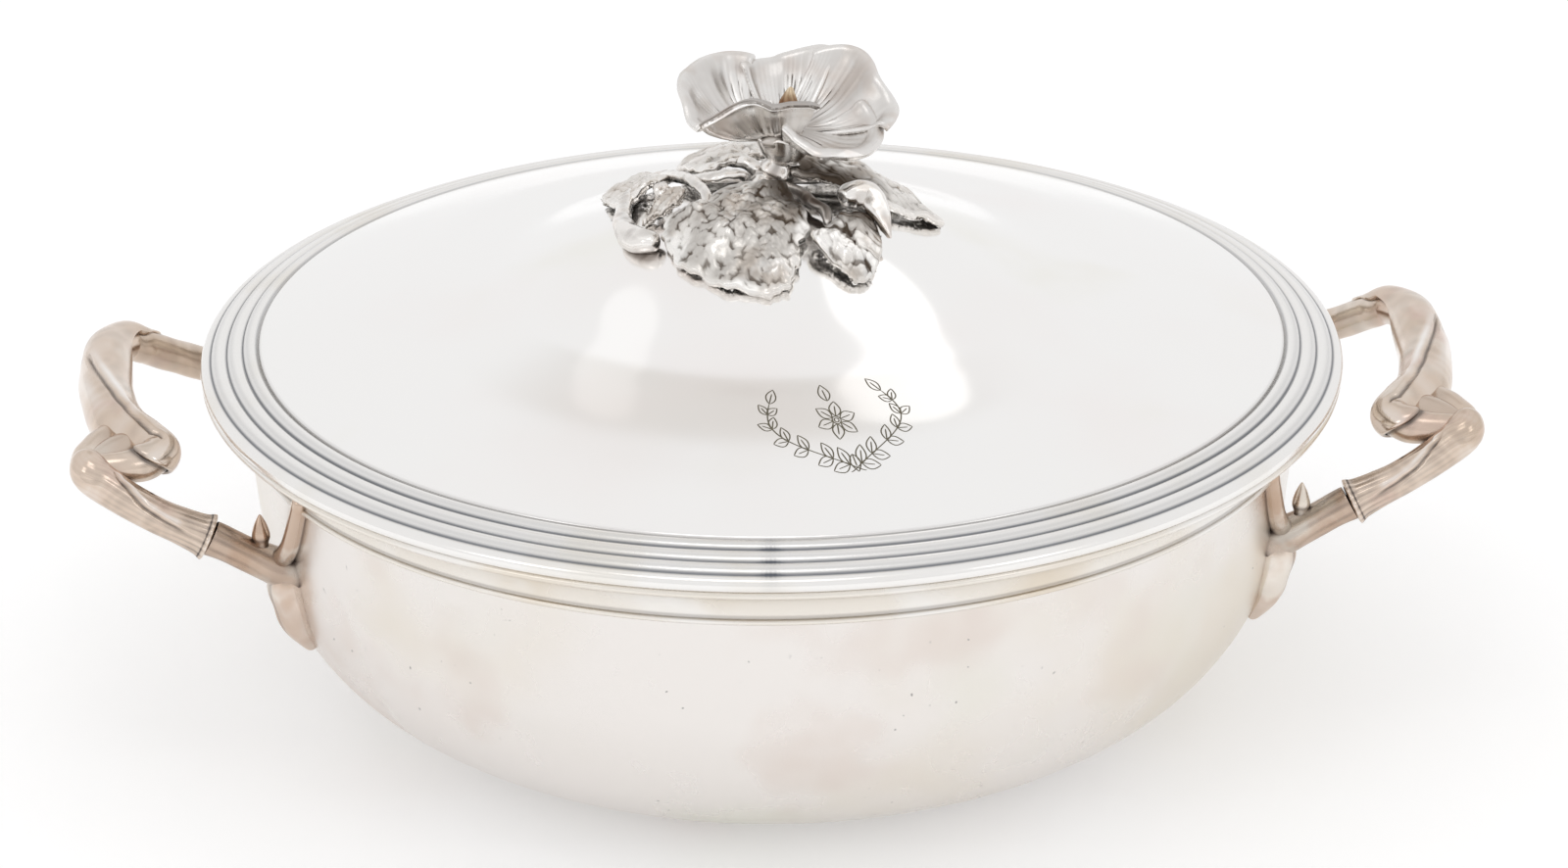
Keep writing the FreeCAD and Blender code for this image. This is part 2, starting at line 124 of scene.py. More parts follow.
table_mesh = bpy.data.meshes.new("table")
table_mesh.from_pydata([(x * table_size / 2, y * table_size / 2, 0)
                        for x, y in ((-1, -1), (1, -1), (1, 1), (-1, 1))], [], [(0, 1, 2, 3)])
table = bpy.data.objects.new("table", table_mesh)
bpy.context.collection.objects.link(table)
table_paper = bpy.data.materials.new("table_paper")
paper = blank(table_paper)
seen = paper.node("LightPath", output=camera_ray)
for ray in (glossy_ray, transmitted_ray):
    seen = seen.maths("MAXIMUM", seen, paper.node("LightPath", output=ray))
paper_dull = paper.node("BsdfDiffuse", inputs={"Color": table_colour})
paper_glow = paper.node("Emission", inputs={"Color": (1, 1, 1), "Strength": seen * table_glow})
paper_both = paper.node("AddShader", inputs={0: paper_dull, 1: paper_glow})
paper.node("OutputMaterial", inputs={"Surface": paper_both})
table_mesh.materials.append(table_paper)

# The studio: white walls all round, with a grey gap behind the dish, a lamp above, two windows in
# front, and two small oval cards of light held close over the lid. The polished cove of the lid
# shows the cards as two clouds with a soft grey arc between.
studio_white, studio_grey = (0.93, 0.93, 0.935), (0.775, 0.76, 0.74)
grey_gap = Vector((0.015, 0.755, 0.656)).normalized()
gap_start, gap_full = 0.976, 0.9985
lamps = {
    "card_left": ((-0.0418, -0.0163, 0.1271), (-0.0362, -0.0506, 0.0911), (0.015, 0.022), "ELLIPSE", 0.1),
    "card_right": ((0.0305, -0.0208, 0.1284), (0.0214, -0.0544, 0.0925), (0.033, 0.026), "ELLIPSE", 0.3),
    "lamp_above": ((-0.1, -0.35, 1.2), (0.0, 0.0, 0.09), (0.5, 0.35), "RECTANGLE", 1.0),
    "window_left": ((-1.0, -0.8, 0.75), (0.0, 0.0, 0.1), (0.3, 0.5), "RECTANGLE", 1.1),
    "window_right": ((0.95, -0.9, 0.85), (0.0, 0.0, 0.1), (0.25, 0.4), "RECTANGLE", 1.4)}

studio = bpy.data.worlds.new("studio")
bpy.context.scene.world = studio
air = blank(studio)
way = air.node("TexCoord", output=0)
gap = air.node("VectorMath", {"operation": "DOT_PRODUCT"}, {0: way, 1: grey_gap}, 1).rise(gap_start, gap_full)
shade = gap.blend(studio_white, studio_grey)
air.node("OutputWorld", inputs={"Surface": air.node("Background", inputs={"Color": shade, "Strength": 1.0})})
for name, (place, aim, size, shape, radiance) in lamps.items():
    lamp = bpy.data.lights.new(name, "AREA")
    lamp.shape, lamp.size, lamp.size_y = shape, size[0], size[1]
    lamp.energy = radiance * math.pi * size[0] * size[1] * (math.pi / 4 if shape == "ELLIPSE" else 1)
    holder = bpy.data.objects.new(name, lamp)
    holder.location = place
    holder.visible_camera = False
    holder.rotation_euler = (Vector(place) - Vector(aim)).to_track_quat("Z", "Y").to_euler()
    bpy.context.collection.objects.link(holder)


# Bowl: raised from one silvered sheet, with a leaning wall, a round lower part and a flat bottom.
# Its polish is worn thin and clouded with straw and rose tarnish, and pitted in places.
bowl_height, bowl_mouth_radius, bowl_lean = 77.0, 115.9, math.radians(4.7)
bowl_side_radius, bowl_side_turn, bowl_foot_radius = 44.0, math.radians(30), 60.0
bowl_thickness, lip_drop = 1.4, 0.6
turns, floor_count = 256, 15
rubbed_and_lit_colour = (0.94, 0.91, 0.88)
pit_size, pit_patch, wear_size = 0.0016, 0.025, 0.012
grain_size, scratch_size, dent_size = 0.0012, 0.0009, 0.02


def surface(name, material, *grids):
    """One object of a material and of grids of points, each (points in millimetres, hollow share).
    Doubled points at seams and poles are merged, and the faces are turned outwards."""
    points, hollows, faces, first = [], [], [], 0
    for grid, hollow in grids:
        rows, columns = grid.shape[:2]
        corner = first + np.arange(rows * columns).reshape(rows, columns)
        faces.append(np.stack([corner[:-1, :-1], corner[:-1, 1:], corner[1:, 1:], corner[1:, :-1]],
                              axis=-1).reshape(-1, 4))
        points.append(grid.reshape(-1, 3))
        hollows.append(np.broadcast_to(hollow, (rows, columns)).reshape(-1))
        first += rows * columns
    mesh = bpy.data.meshes.new(name)
    mesh.from_pydata((np.concatenate(points) * 0.001).tolist(), [], np.concatenate(faces).tolist())
    mesh.attributes.new("hollow", "FLOAT", "POINT").data.foreach_set(
        "value", np.concatenate(hollows).astype(np.float32))
    worked = bmesh.new()
    worked.from_mesh(mesh)
    bmesh.ops.remove_doubles(worked, verts=worked.verts, dist=2e-6)
    bmesh.ops.dissolve_degenerate(worked, edges=worked.edges, dist=1e-7)
    bmesh.ops.recalc_face_normals(worked, faces=worked.faces)
    worked.to_mesh(mesh)
    worked.free()
    mesh.shade_smooth()
    mesh.materials.append(material)
    made = bpy.data.objects.new(name, mesh)
    bpy.context.collection.objects.link(made)
    return made


def turned(outline, turns=turns):
    """The outline's (radius, height) points carried once round the axis: (r cos a, r sin a, z), with
    a at a number of even steps or at the angles given."""
    angle = np.atleast_2d(np.linspace(0, 2 * np.pi, turns + 1) if np.ndim(turns) == 0 else turns)
    outline = np.asarray(outline, float)
    radius, height = outline[:, :1], outline[:, 1:]
    return np.stack([radius * np.cos(angle), radius * np.sin(angle), height + 0 * angle], -1)


def arc(centre, radius, start, end, count):
    """Points at centre + radius (sin a, -cos a), for a from start to end."""
    a = np.linspace(start, end, count)
    return np.stack([centre[0] + radius * np.sin(a), centre[1] - radius * np.cos(a)], -1)


def bowl_wall(height):
    """Outside radius of the wall: the mouth's radius less the fall times the tangent of the lean."""
    return bowl_mouth_radius - (bowl_height - height) * math.tan(bowl_lean)


def bowl_outline(inset):
    """Outside of the bowl from mouth to axis, or its inside: a straight wall and two arcs, less inset."""
    lean = math.pi / 2 - bowl_lean
    drop = bowl_side_radius * (math.cos(bowl_side_turn) - math.cos(lean))
    curve_top = drop + bowl_foot_radius * (1 - math.cos(bowl_side_turn))
    side = np.array([bowl_wall(curve_top) - bowl_side_radius * math.sin(lean),
                     curve_top + bowl_side_radius * math.cos(lean)])
    foot = side + (bowl_foot_radius - bowl_side_radius) * np.array([-math.sin(bowl_side_turn),
                                                                    math.cos(bowl_side_turn)])
    side_arc = arc(side, bowl_side_radius - inset, lean, bowl_side_turn, 36)
    foot_arc = arc(foot, bowl_foot_radius - inset, bowl_side_turn, 0, 24)[1:]
    rise = np.linspace(bowl_height - lip_drop, side_arc[0][1], 24, endpoint=False)
    fall = (bowl_height - rise) * math.tan(bowl_lean)
    wall = np.stack([bowl_mouth_radius - inset / math.sin(lean) - fall, rise], -1)
    floor = np.stack([np.linspace(foot_arc[-1][0], 0, floor_count + 1)[1:], np.full(floor_count, inset)], -1)
    return np.concatenate([wall, side_arc, foot_arc, floor])


def silver(name, clear, stains, roughness, relief, tarnish_and_shade_colour=(0.16, 0.14, 0.13), pits=0.0, brush=0.0,
           pocket=0.0):
    """Worked silver. Its clear colour is clouded by stains of (colour, cloud size in metres, lowest and
    highest noise that shows it, seed). Where the hollow value is high the metal turns dark and dull:
    tarnished hollows, and in some pieces painted shade; so do narrow places that other metal closes in within
    the pocket's metres. Where the hollow is below 0, the metal is rubbed bright, and on leaf undersides it is
    lightened as painted light."""
    finish = bpy.data.materials.new(name)
    metal = blank(finish)
    place = metal.node("TexCoord", output=3)

    def noise(size, seed, detail=3.0, stretch=(1, 1, 1)):
        spot = metal.node("Mapping", inputs={"Vector": place, "Location": (seed, 2 * seed, -seed),
                                             "Scale": stretch})
        return metal.node("TexNoise", inputs={"Vector": spot, "Scale": 1 / size, "Detail": detail})

    colour = metal.node("RGB")
    colour.socket.default_value = (*clear, 1)
    dull = 0
    for stain, size, low, high, seed in stains:
        cloud = noise(size, seed).rise(low, high)
        colour = cloud.blend(colour, stain)
        dull = cloud * 0.05 + dull
    hollow = metal.node("Attribute", {"attribute_name": "hollow"}, output=2)
    # Below 0 the colour goes towards the rubbed colour: rubbed wear, and painted light on leaf undersides.
    rubbed = hollow * -1
    colour = rubbed.maths("MAXIMUM", rubbed, 0.0).blend(colour, rubbed_and_lit_colour)
    if pocket:
        open_share = metal.node("AmbientOcclusion", {"samples": 6}, {"Distance": pocket}, 1)
        hollow = hollow + (1 - open_share).rise(0.35, 1.0) * 0.8
    # Above 0 the colour goes towards the dark colour: tarnish, and painted shade in some pieces.
    colour = hollow.maths("MINIMUM", hollow, 1.0).blend(colour, tarnish_and_shade_colour)
    if pits:
        speck = noise(pit_size, 7.3, 1.0).rise(0.77 - pits, 0.8 - pits)
        speck = speck * noise(pit_patch, 3.1).rise(0.52, 0.62)
        colour = speck.blend(colour, tuple(0.5 * part for part in clear))
    rough = noise(wear_size, 1.7) * 0.08 + (roughness - 0.04) + dull + hollow * 0.25
    scratch = noise(scratch_size, 5.2, 2.0, (1, 9, 3)) + noise(scratch_size, 8.8, 2.0, (8, 1, 2))
    uneven = noise(grain_size, 0.4, 4.0) * 0.5 + scratch * brush + noise(dent_size, 4.4, 1.0) * 6
    bumped = metal.node("Bump", inputs={"Strength": 1.0, "Distance": relief, "Height": uneven})
    body = metal.node("BsdfPrincipled", inputs={"Base Color": colour, "Metallic": 1.0, "Roughness": rough,
                                                "Normal": bumped})
    metal.node("OutputMaterial", inputs={"Surface": body})
    return finish


bowl_silver = silver("bowl_silver", (0.835, 0.80, 0.77),
                     [((0.79, 0.735, 0.65), 0.07, 0.5, 0.7, 0.0),
                      ((0.765, 0.69, 0.64), 0.045, 0.53, 0.7, 0.31),
                      ((0.785, 0.775, 0.70), 0.06, 0.53, 0.78, 0.83)],
                     0.26, 0.00003, pits=0.02, brush=0.4)
lip = arc((bowl_mouth_radius - bowl_thickness / 2, bowl_height - lip_drop), bowl_thickness / 2,
          3 * math.pi / 2, math.pi / 2, 9)
bowl_section = np.concatenate([bowl_outline(bowl_thickness)[::-1], lip, bowl_outline(0)])
bowl = surface("bowl", bowl_silver, (turned(bowl_section), 0.0))
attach(bowl, "bowl")
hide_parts("bowl_shell")

# Rim band: a moulded wire with a bead, a hollow and a roll, bent round the mouth and soldered on.
# Polish never reaches its hollow, so it has kept a straw-coloured tarnish and a dark solder line.
band_height, band_reach, bead_radius, bead_reach, roll_radius = 10.7, 8.2, 0.65, 1.6, 0.75


def mound(distance, width):
    """A smooth bump of height 1 and a half width."""
    return np.exp(-(distance / width) ** 2)


band_low = bowl_height - band_height
band_wall = bowl_wall(band_low)
band_bead = band_wall + bead_reach - bead_radius
band_roll = bowl_mouth_radius + band_reach - roll_radius
cove_low, cove_high = band_low + 2 * bead_radius, bowl_height - 2 * roll_radius
sweep = np.linspace(0, np.pi / 2, 28)
cove = np.stack([band_roll - (band_roll - band_bead) * np.cos(sweep),
                 cove_low + (cove_high - cove_low) * np.sin(sweep)], -1)
band_start = (band_wall - 0.6, band_low + 0.5)
band_outline = np.concatenate([
    [band_start, (band_wall - 0.1, band_low - 0.25), (band_wall + 0.25, band_low - 0.12)],
    arc((band_bead, band_low + bead_radius), bead_radius, 0, math.pi, 12), cove[1:-1],
    arc((band_roll, bowl_height - roll_radius), roll_radius, 0, math.pi, 12),
    [(bowl_mouth_radius + 0.3, bowl_height), (bowl_mouth_radius - 0.3, bowl_height - 0.4), band_start]])
band_spot = band_outline[:, 1:]
band_hollow = (0.75 * mound(band_spot - band_low + 0.2, 0.3) + 0.55 * mound(band_spot - cove_low - 0.25, 0.35)
               + 0.3 * mound(band_spot - cove_high + 0.3, 0.5))
band_silver = silver("band_silver", (0.82, 0.775, 0.71),
                     [((0.76, 0.68, 0.57), 0.05, 0.5, 0.72, 0.21),
                      ((0.88, 0.86, 0.83), 0.03, 0.5, 0.7, 0.57)],
                     0.26, 0.00003, brush=0.3)
band = surface("rim_band", band_silver, (turned(band_outline), band_hollow))
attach(band, "bowl")
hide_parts("bowl_rim_band")

# Handles: each is a cast branch, bent into a loop. A thin twig comes out of a sheath at the rear,
# the thick limb turns back on itself at the front, and its end goes into the elbow of the stem.
leg_spread, root_height, grip_standoff, grip_rise, grip_radius = 44.5, 46.0, 41.6, 24.0, 5.7
root_out = math.sqrt(bowl_wall(root_height) ** 2 - leg_spread ** 2)
branch_rows = [(0.393, 1.0, 0.375, 0.72), (0.6, 0.97, 0.5, 0.7), (0.76, 0.91, 0.65, 0.71),
               (0.86, 0.83, 0.79, 0.76), (0.9, 0.79, 0.84, 0.84), (0.97, 0.73, 0.91, 0.94),
               (1.026, 0.55, 0.96, 0.99), (1.021, 0.28, 0.98, 1.01), (0.99, 0.0, 0.98, 1.04),
               (0.93, -0.28, 0.99, 1.05), (0.85, -0.49, 1.0, 1.03), (0.735, -0.62, 0.99, 0.92),
               (0.65, -0.72, 0.97, 0.82), (0.69, -0.81, 0.965, 0.76), (0.82, -0.87, 0.965, 0.74),
               (0.95, -0.9, 0.96, 0.62), (1.03, -0.92, 0.97, 0.5)]
twig_radius = 0.68
sides = (("right", 1), ("left", -1))
up = np.array([0.0, 0.0, 1.0])


def along(rows, place):
    """The smooth line through the rows, a Catmull-Rom cubic, at a place counted in rows."""
    rows = np.asarray(rows, float)
    place = np.clip(place, 0, len(rows) - 1)
    at = np.minimum(place.astype(int), len(rows) - 2)
    f = (place - at)[..., None]
    before, start, end, after = (rows[np.clip(at + k, 0, len(rows) - 1)] for k in (-1, 0, 1, 2))
    return start + f / 2 * (end - before + f * (2 * before - 5 * start + 4 * end - after
                                                + f * (3 * (start - end) + after - before)))


def swept(rows, place, turn, width, relief=0.0, depth=None, up=up):
    """A surface round the smooth line through the rows: at each place a section square to the line,
    middle + side cos(turn) (depth + relief) + across sin(turn) (width + relief). It is round where no
    depth is given."""
    depth = width if depth is None else depth
    place, turn, width, depth, relief = np.broadcast_arrays(place, turn, width, depth, relief)
    ahead = along(rows, place + 0.03) - along(rows, place - 0.03)
    ahead /= np.linalg.norm(ahead, axis=-1, keepdims=True)
    side = up - ahead * (ahead @ up)[..., None]
    side /= np.linalg.norm(side, axis=-1, keepdims=True)
    across = np.cross(ahead, side)
    return (along(rows, place) + side * (np.cos(turn) * (depth + relief))[..., None]
            + across * (np.sin(turn) * (width + relief))[..., None])


def handle_place(rows):
    """Millimetres from shares: out from the wall, to the rear, and up from root to grip."""
    rows = np.asarray(rows, float)
    return rows[:, :3] * (grip_standoff, leg_spread, grip_rise) + (root_out, 0, root_height)


def unit(value):
    """The value, held between 0 and 1."""
    return np.clip(value, 0, 1)


def round_off(share):
    """Height of a quarter circle over a share of its radius, and 1 beyond."""
    return np.sqrt(1 - (1 - unit(share)) ** 2)


def round_end(place, first, last, length):
    """1 along a limb, falling to 0 at both ends as a half ellipse of a length."""
    return round_off(np.minimum(place - first, last - place) / length)


def span(place, first, last):
    """1 between two places, and falling to 0 over half a row at each."""
    return unit((place - first) * 2) * unit((last - place) * 2)


def fine_ends(last, fine, middle):
    """Places in rows from 0 to the last, even ones with ever closer ones along the 0.2 at each end."""
    near = 0.2 * np.linspace(0, 1, fine) ** 2
    return np.concatenate([near, np.linspace(0.2, last - 0.2, middle)[1:-1], last - near[::-1]])[:, None]


def size_along(rows, column, place):
    """A size, given as a column of the rows, carried smoothly to the places counted in rows."""
    return along(np.array(rows)[:, column:], place)[..., 0]


def wrapped(turn):
    """The same angle between -pi and pi."""
    return (turn + math.pi) % (2 * math.pi) - math.pi


def lumps(points, size, seed):
    """Smooth unevenness between about -1 and 1: a sum of seven sine waves in random directions."""
    chance = np.random.default_rng(seed)
    waves = chance.normal(size=(7, 3)) * (2 * np.pi / size) / 1.7
    return np.sin(points @ waves.T + chance.uniform(0, 2 * np.pi, 7)).sum(-1) / math.sqrt(7)


def mirrored(grids, flip_x, flip_y=1):
    """The grids carried to the dish's other side, left or rear, where a flip is -1."""
    return [(points * (flip_x, flip_y, 1), hollow) for points, hollow in grids]


around = np.linspace(0, 2 * np.pi, 97)[None, :]
round_turn = wrapped(around)
branch_line = handle_place(branch_rows)
branch_size = np.array(branch_rows)[:, 3:] * grip_radius

twig_last, twig_thickest = 7.6, grip_radius * twig_radius
twig_place = np.linspace(0, twig_last, 100)[:, None]
twig_thick = twig_thickest * round_end(twig_place, -1, twig_last, 0.4)
twig_base = swept(branch_line, twig_place, around, twig_thick)
mouth_place = 7.0 - 4.45 * mound(round_turn + 0.1, 1.05)
twig_hollow = 0.7 * mound(twig_place - mouth_place + 0.08, 0.12) + 0.12 * np.abs(lumps(twig_base, 9, 3))

run = np.concatenate([[0, 0.003, 0.007, 0.012, 0.02], np.linspace(0.03, 0.97, 210),
                      [0.98, 0.988, 0.994, 0.998, 1]])[:, None]
knuckle_place = 13.0 + 0.6 * np.cos(round_turn)
limb_place = mouth_place + (knuckle_place - mouth_place) * run
limb_lip = 0.97 * twig_thickest
limb_thick = np.maximum(along(branch_size, limb_place)[..., 0], grip_radius * (twig_radius + 0.09))
limb_thick = limb_lip + (limb_thick - limb_lip) * round_off(np.minimum(run / 0.016, (1 - run) / 0.02))
limb_base = swept(branch_line, limb_place, around, limb_thick)
crease_turn = np.interp(limb_place, (7.0, 7.5, 8.3, 8.9, 9.9, 10.8, 11.6, 12.3),
                        (-0.8, -0.54, -0.19, 0.03, 0.12, -0.12, -0.3, 0.2))
from_crease = wrapped(round_turn - crease_turn)
crease_run = span(limb_place, 6.9, 12.5)
crease = mound(from_crease, 0.1) * crease_run
limb_relief = (0.12 * lumps(limb_base, 18, 11) - 0.75 * crease
               + 0.3 * mound(from_crease - 0.28, 0.2) * crease_run
               - 0.35 * mound(from_crease + 0.35, 0.3) * crease_run)
limb_hollow = (0.1 * np.abs(lumps(limb_base, 7, 12)) - 0.35 * unit(lumps(limb_base, 15, 15) - 0.2)
               + 0.85 * mound(from_crease, 0.07) * crease_run
               - 0.9 * mound(from_crease - 0.3, 0.14) * crease_run * mound(limb_place - 8.6, 1.3)
               - 0.5 * mound(from_crease + 0.75, 0.3) * mound(limb_place - 8.4, 1.2)
               + 0.6 * mound(knuckle_place - limb_place, 0.06))
end_first, end_last = 11.2, 16
end_place = np.linspace(end_first, end_last, 90)[:, None]
end_thick = grip_radius * np.interp(end_place, (11.2, 12.5, 13.5, 15, 16), (0.5, 0.6, 0.64, 0.63, 0.5))
end_thick = end_thick * round_end(end_place, end_first, end_last, 0.3)
end_base = swept(branch_line, end_place, around, end_thick)
end_hollow = 0.8 * mound(end_place - knuckle_place - 0.06, 0.1) + 0.1 * np.abs(lumps(end_base, 6, 13))

handle_silver = silver("handle_silver", (0.685, 0.565, 0.47),
                       [((0.62, 0.50, 0.40), 0.022, 0.45, 0.7, 0.0),
                        ((0.75, 0.67, 0.59), 0.016, 0.5, 0.75, 0.44),
                        ((0.65, 0.50, 0.42), 0.012, 0.52, 0.75, 0.9)],
                       0.16, 0.00001, tarnish_and_shade_colour=(0.12, 0.10, 0.09), brush=0.8, pocket=0.003)
twig_relief, end_relief = 0.1 * lumps(twig_base, 12, 4), 0.12 * lumps(end_base, 10, 14)
branch_parts = [(swept(branch_line, twig_place, around, twig_thick, twig_relief), twig_hollow),
                (swept(branch_line, limb_place, around, limb_thick, limb_relief), limb_hollow),
                (swept(branch_line, end_place, around, end_thick, end_relief), end_hollow)]
for side, flip in sides:
    branch = surface("branch_" + side, handle_silver, *mirrored(branch_parts, flip))
    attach(branch, "bowl")
    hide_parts("handle_branch_" + side)

# Stems: the thick lower leg of each handle, cast with a ring at its foot where it butts on the
# root's stub, fluted above the ring and rounded off in an elbow that takes the branch's end.
stem_radius, collar_rim = 4.2, 0.5
collar_share = (0.393, -1.0, 0.375)
stem_rows = [collar_share, (0.53, -1.0, 0.49), (0.66, -1.0, 0.61), (0.85, -1.0, 0.84), (0.95, -0.99, 0.98),
             (0.984, -0.94, 1.05), (0.975, -0.87, 1.07)]
stem_size = np.array([[1.02], [0.91], [0.88], [0.94], [0.98], [0.91], [0.6]]) * stem_radius

stem_line = handle_place(stem_rows)
stem_place = np.concatenate([np.linspace(0, 0.5, 60), np.linspace(0.5, 5.7, 130)[1:],
                             6 - 0.3 * np.linspace(1, 0, 14)[1:] ** 2])[:, None]
stem_thick = along(stem_size, stem_place)[..., 0] * round_end(stem_place, -1, 6, 0.8)
stem_base = swept(stem_line, stem_place, around, stem_thick)
flare = collar_rim * mound(stem_place - 0.17, 0.17) + 0.3 * mound(stem_place, 0.6)
flutes = np.cos(19 * around + 1.5 * np.sin(2 * around) + 0.6 * np.sin(7 * around)
                + 0.5 * np.sin(2 * stem_place)) * (
    mound(stem_place - 0.4, 0.9) + 0.4 * mound(stem_place - 3, 1.5))
from_slit = around - np.interp(stem_place, (0.9, 1.75, 2.33, 2.57, 2.84, 3.4),
                               (1.38, 1.26, 1.12, 0.91, 0.61, 0.2))
slit_run = span(stem_place, 0.8, 3.5)
dimple = np.hypot((stem_place - 4.0) / 0.3, (around - 1.2) / 0.2)
stem_relief = (flare + 0.1 * flutes + 0.1 * lumps(stem_base, 14, 21) - 0.5 * mound(from_slit, 0.12) * slit_run
               + 0.2 * mound(from_slit + 0.3, 0.2) * slit_run - 0.25 * mound(dimple, 0.8))
stem_hollow = (0.8 * mound(stem_place - 0.3, 0.03) + 0.8 * mound(stem_place, 0.04) + 0.4 * unit(-flutes)
               + 0.85 * mound(from_slit, 0.07) * slit_run + 0.12 * mound(dimple - 0.7, 0.4)
               - 0.6 * mound(from_slit + 0.32, 0.15) * slit_run - 0.4 * mound(stem_place - 0.16, 0.07)
               + 0.12 * np.abs(lumps(stem_base, 6, 22)) - 0.35 * unit(lumps(stem_base, 13, 25) - 0.1))
foot_cap = round_off(stem_place / 0.14)
stem_points = swept(stem_line, stem_place, around, stem_thick * foot_cap, stem_relief * foot_cap)
for side, flip in sides:
    stem = surface("stem_" + side, handle_silver, *mirrored([(stem_points, stem_hollow)], flip))
    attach(stem, "bowl")
    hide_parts("handle_stem_" + side)

# Folds: a flat shoot grows out of each elbow, laps over the turn of the branch and ends on it. A
# web of the same casting closes the corner under it.
fold_width, fold_thickness = 6.8, 7.0
fold_rows = [(1.04, -0.87, 0.96, 0.7), (1.01, -0.79, 0.99, 0.95), (0.97, -0.69, 1.0, 1.0),
             (0.93, -0.59, 1.0, 0.95), (0.895, -0.49, 0.99, 0.85), (0.87, -0.41, 0.98, 0.6)]

web_rows = [(1.0, -0.88, 0.97, 0.7), (0.92, -0.78, 0.965, 1.0), (0.84, -0.68, 0.965, 1.05),
            (0.77, -0.6, 0.97, 0.8)]
web_size = 3.7

fold_line = handle_place(fold_rows)
web_line, web_place = handle_place(web_rows), np.linspace(0, 3, 50)[:, None]
web_thick = size_along(web_rows, 3, web_place) * web_size * round_end(web_place, 0, 3, 0.6)
fold_place = fine_ends(5, 10, 70)
fold_share = size_along(fold_rows, 3, fold_place) * round_end(fold_place, 0, 5, 0.5)
fold_half, fold_deep = fold_share * fold_width / 2, fold_share * fold_thickness / 2
fold_base = swept(fold_line, fold_place, around, fold_half, 0, fold_deep)
fold_relief, fold_hollow = 0.12 * lumps(fold_base, 8, 31), 0.1 * np.abs(lumps(fold_base, 5, 32))
fold_parts = [(swept(fold_line, fold_place, around, fold_half, fold_relief, fold_deep), fold_hollow),
              (swept(web_line, web_place, around, web_thick), 0.15)]
for side, flip in sides:
    fold = surface("fold_" + side, handle_silver, *mirrored(fold_parts, flip))
    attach(fold, "bowl")
    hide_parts("handle_fold_" + side)

# Roots: castings soldered to the wall. From a junction a stub runs out to the stem or the twig,
# a leaf-shaped lobe lies down the bowl, a brace leans up to the rim band and a thorn stands up.
stub_radius, junction_radius, junction_depth = 3.3, 5.2, 3.0
lobe_drop, lobe_width, lobe_depth = 18.5, 10.0, 4.4
brace_radius, brace_lean, brace_stand = 2.4, 4.6, 1.2
thorn_radius, thorn_length, thorn_share = 1.9, 10.8, 0.45
stub_rows = ((0.0, 1.15), (0.25, 1.3), (0.6, 1.1), (1.0, 1.18))
lobe_rows = ((0.0, 0.55, 0.7), (0.22, 0.85, 1.0), (0.5, 1.0, 0.95), (0.75, 0.75, 0.7), (0.93, 0.35, 0.4),
             (1.0, 0.12, 0.15))
brace_rows = ((-0.2, 0.12, 1.0), (0.7, 0.5, 0.85), (1.6, 1.15, 0.75))
thorn_rows = ((0.0, 1.1), (0.35, 0.8), (0.55, 1.02), (0.78, 0.72), (1.0, 0.12))

root_angle = -math.degrees(math.asin(leg_spread / bowl_wall(root_height)))
collar_point = handle_place([collar_share])[0]
leg_foot = handle_place([(0, -1, 0)])[0]
leg_ahead = (collar_point - leg_foot) / np.linalg.norm(collar_point - leg_foot)
stub_start = leg_foot - leg_ahead * junction_depth
stub_line = np.array([stub_start + (collar_point - stub_start) * share for share, size in stub_rows])


def bowl_radius(height, inset=0):
    """The bowl's outside radius at a height, or that of its outline less an inset."""
    outline = bowl_outline(inset)[-1 - floor_count::-1]
    return np.interp(height, outline[:, 1], outline[:, 0])


def on_bowl(angle, height, lift):
    """A point a lift off the bowl's outside at an angle in degrees and a height, square to its slope."""
    spot, turn = bowl_radius(height), np.radians(angle)
    steep = (bowl_radius(height + 0.5) - spot) / 0.5
    length = math.hypot(1, steep)
    radius = spot + lift / length
    return np.array([radius * np.cos(turn), radius * np.sin(turn), height - lift * steep / length])


def outside_bowl(points):
    """The points, moved out to the middle of the bowl's sheet where they would lie deeper."""
    least = bowl_radius(points[..., 2], bowl_thickness / 2)
    outward_share = np.maximum(least / np.hypot(points[..., 0], points[..., 1]), 1)[..., None]
    return points * outward_share ** (1, 1, 0)


lobe_top, lobe_length = root_height + junction_radius / 2, lobe_drop + junction_radius / 2
lobe_line = np.array([on_bowl(root_angle, lobe_top - share * lobe_length, lobe_depth * depth * 0.25)
                      for share, width, depth in lobe_rows])
brace_low, brace_high = root_height, band_low + bead_radius
brace_line = np.array([on_bowl(root_angle - brace_lean * lean, brace_low + (brace_high - brace_low) * share,
                               brace_radius * 0.4 + brace_stand * (1 - share) ** 2)
                       for lean, share, size in brace_rows])
thorn_foot = stub_start + (collar_point - stub_start) * thorn_share
thorn_line = np.array([thorn_foot + (0, 0, thorn_length * share) for share, size in thorn_rows])
outward = np.array([math.cos(math.radians(root_angle)), math.sin(math.radians(root_angle)), 0.0])
east = np.array([1.0, 0.0, 0.0])

root_silver = silver("root_silver", (0.60, 0.465, 0.37),
                     [((0.55, 0.40, 0.30), 0.01, 0.48, 0.66, 0.3),
                      ((0.76, 0.69, 0.61), 0.012, 0.52, 0.66, 0.64)],
                     0.18, 0.00001, tarnish_and_shade_colour=(0.12, 0.09, 0.08), brush=0.8, pocket=0.003)
stub_place = np.linspace(0, 3, 60)[:, None]
stub_thick = size_along(stub_rows, 1, stub_place) * stub_radius * round_end(stub_place, 0, 3.25, 0.3)
stub_base = swept(stub_line, stub_place, around, stub_thick)
from_split, split_run = around - 4.4 + 0.15 * stub_place, mound(stub_place - 1.3, 1.2)
stub_relief = 0.15 * lumps(stub_base, 8, 41) - 0.5 * mound(from_split, 0.22) * split_run
stub_flutes = unit(np.cos(13 * around + 2 * np.sin(2 * around) + stub_place))
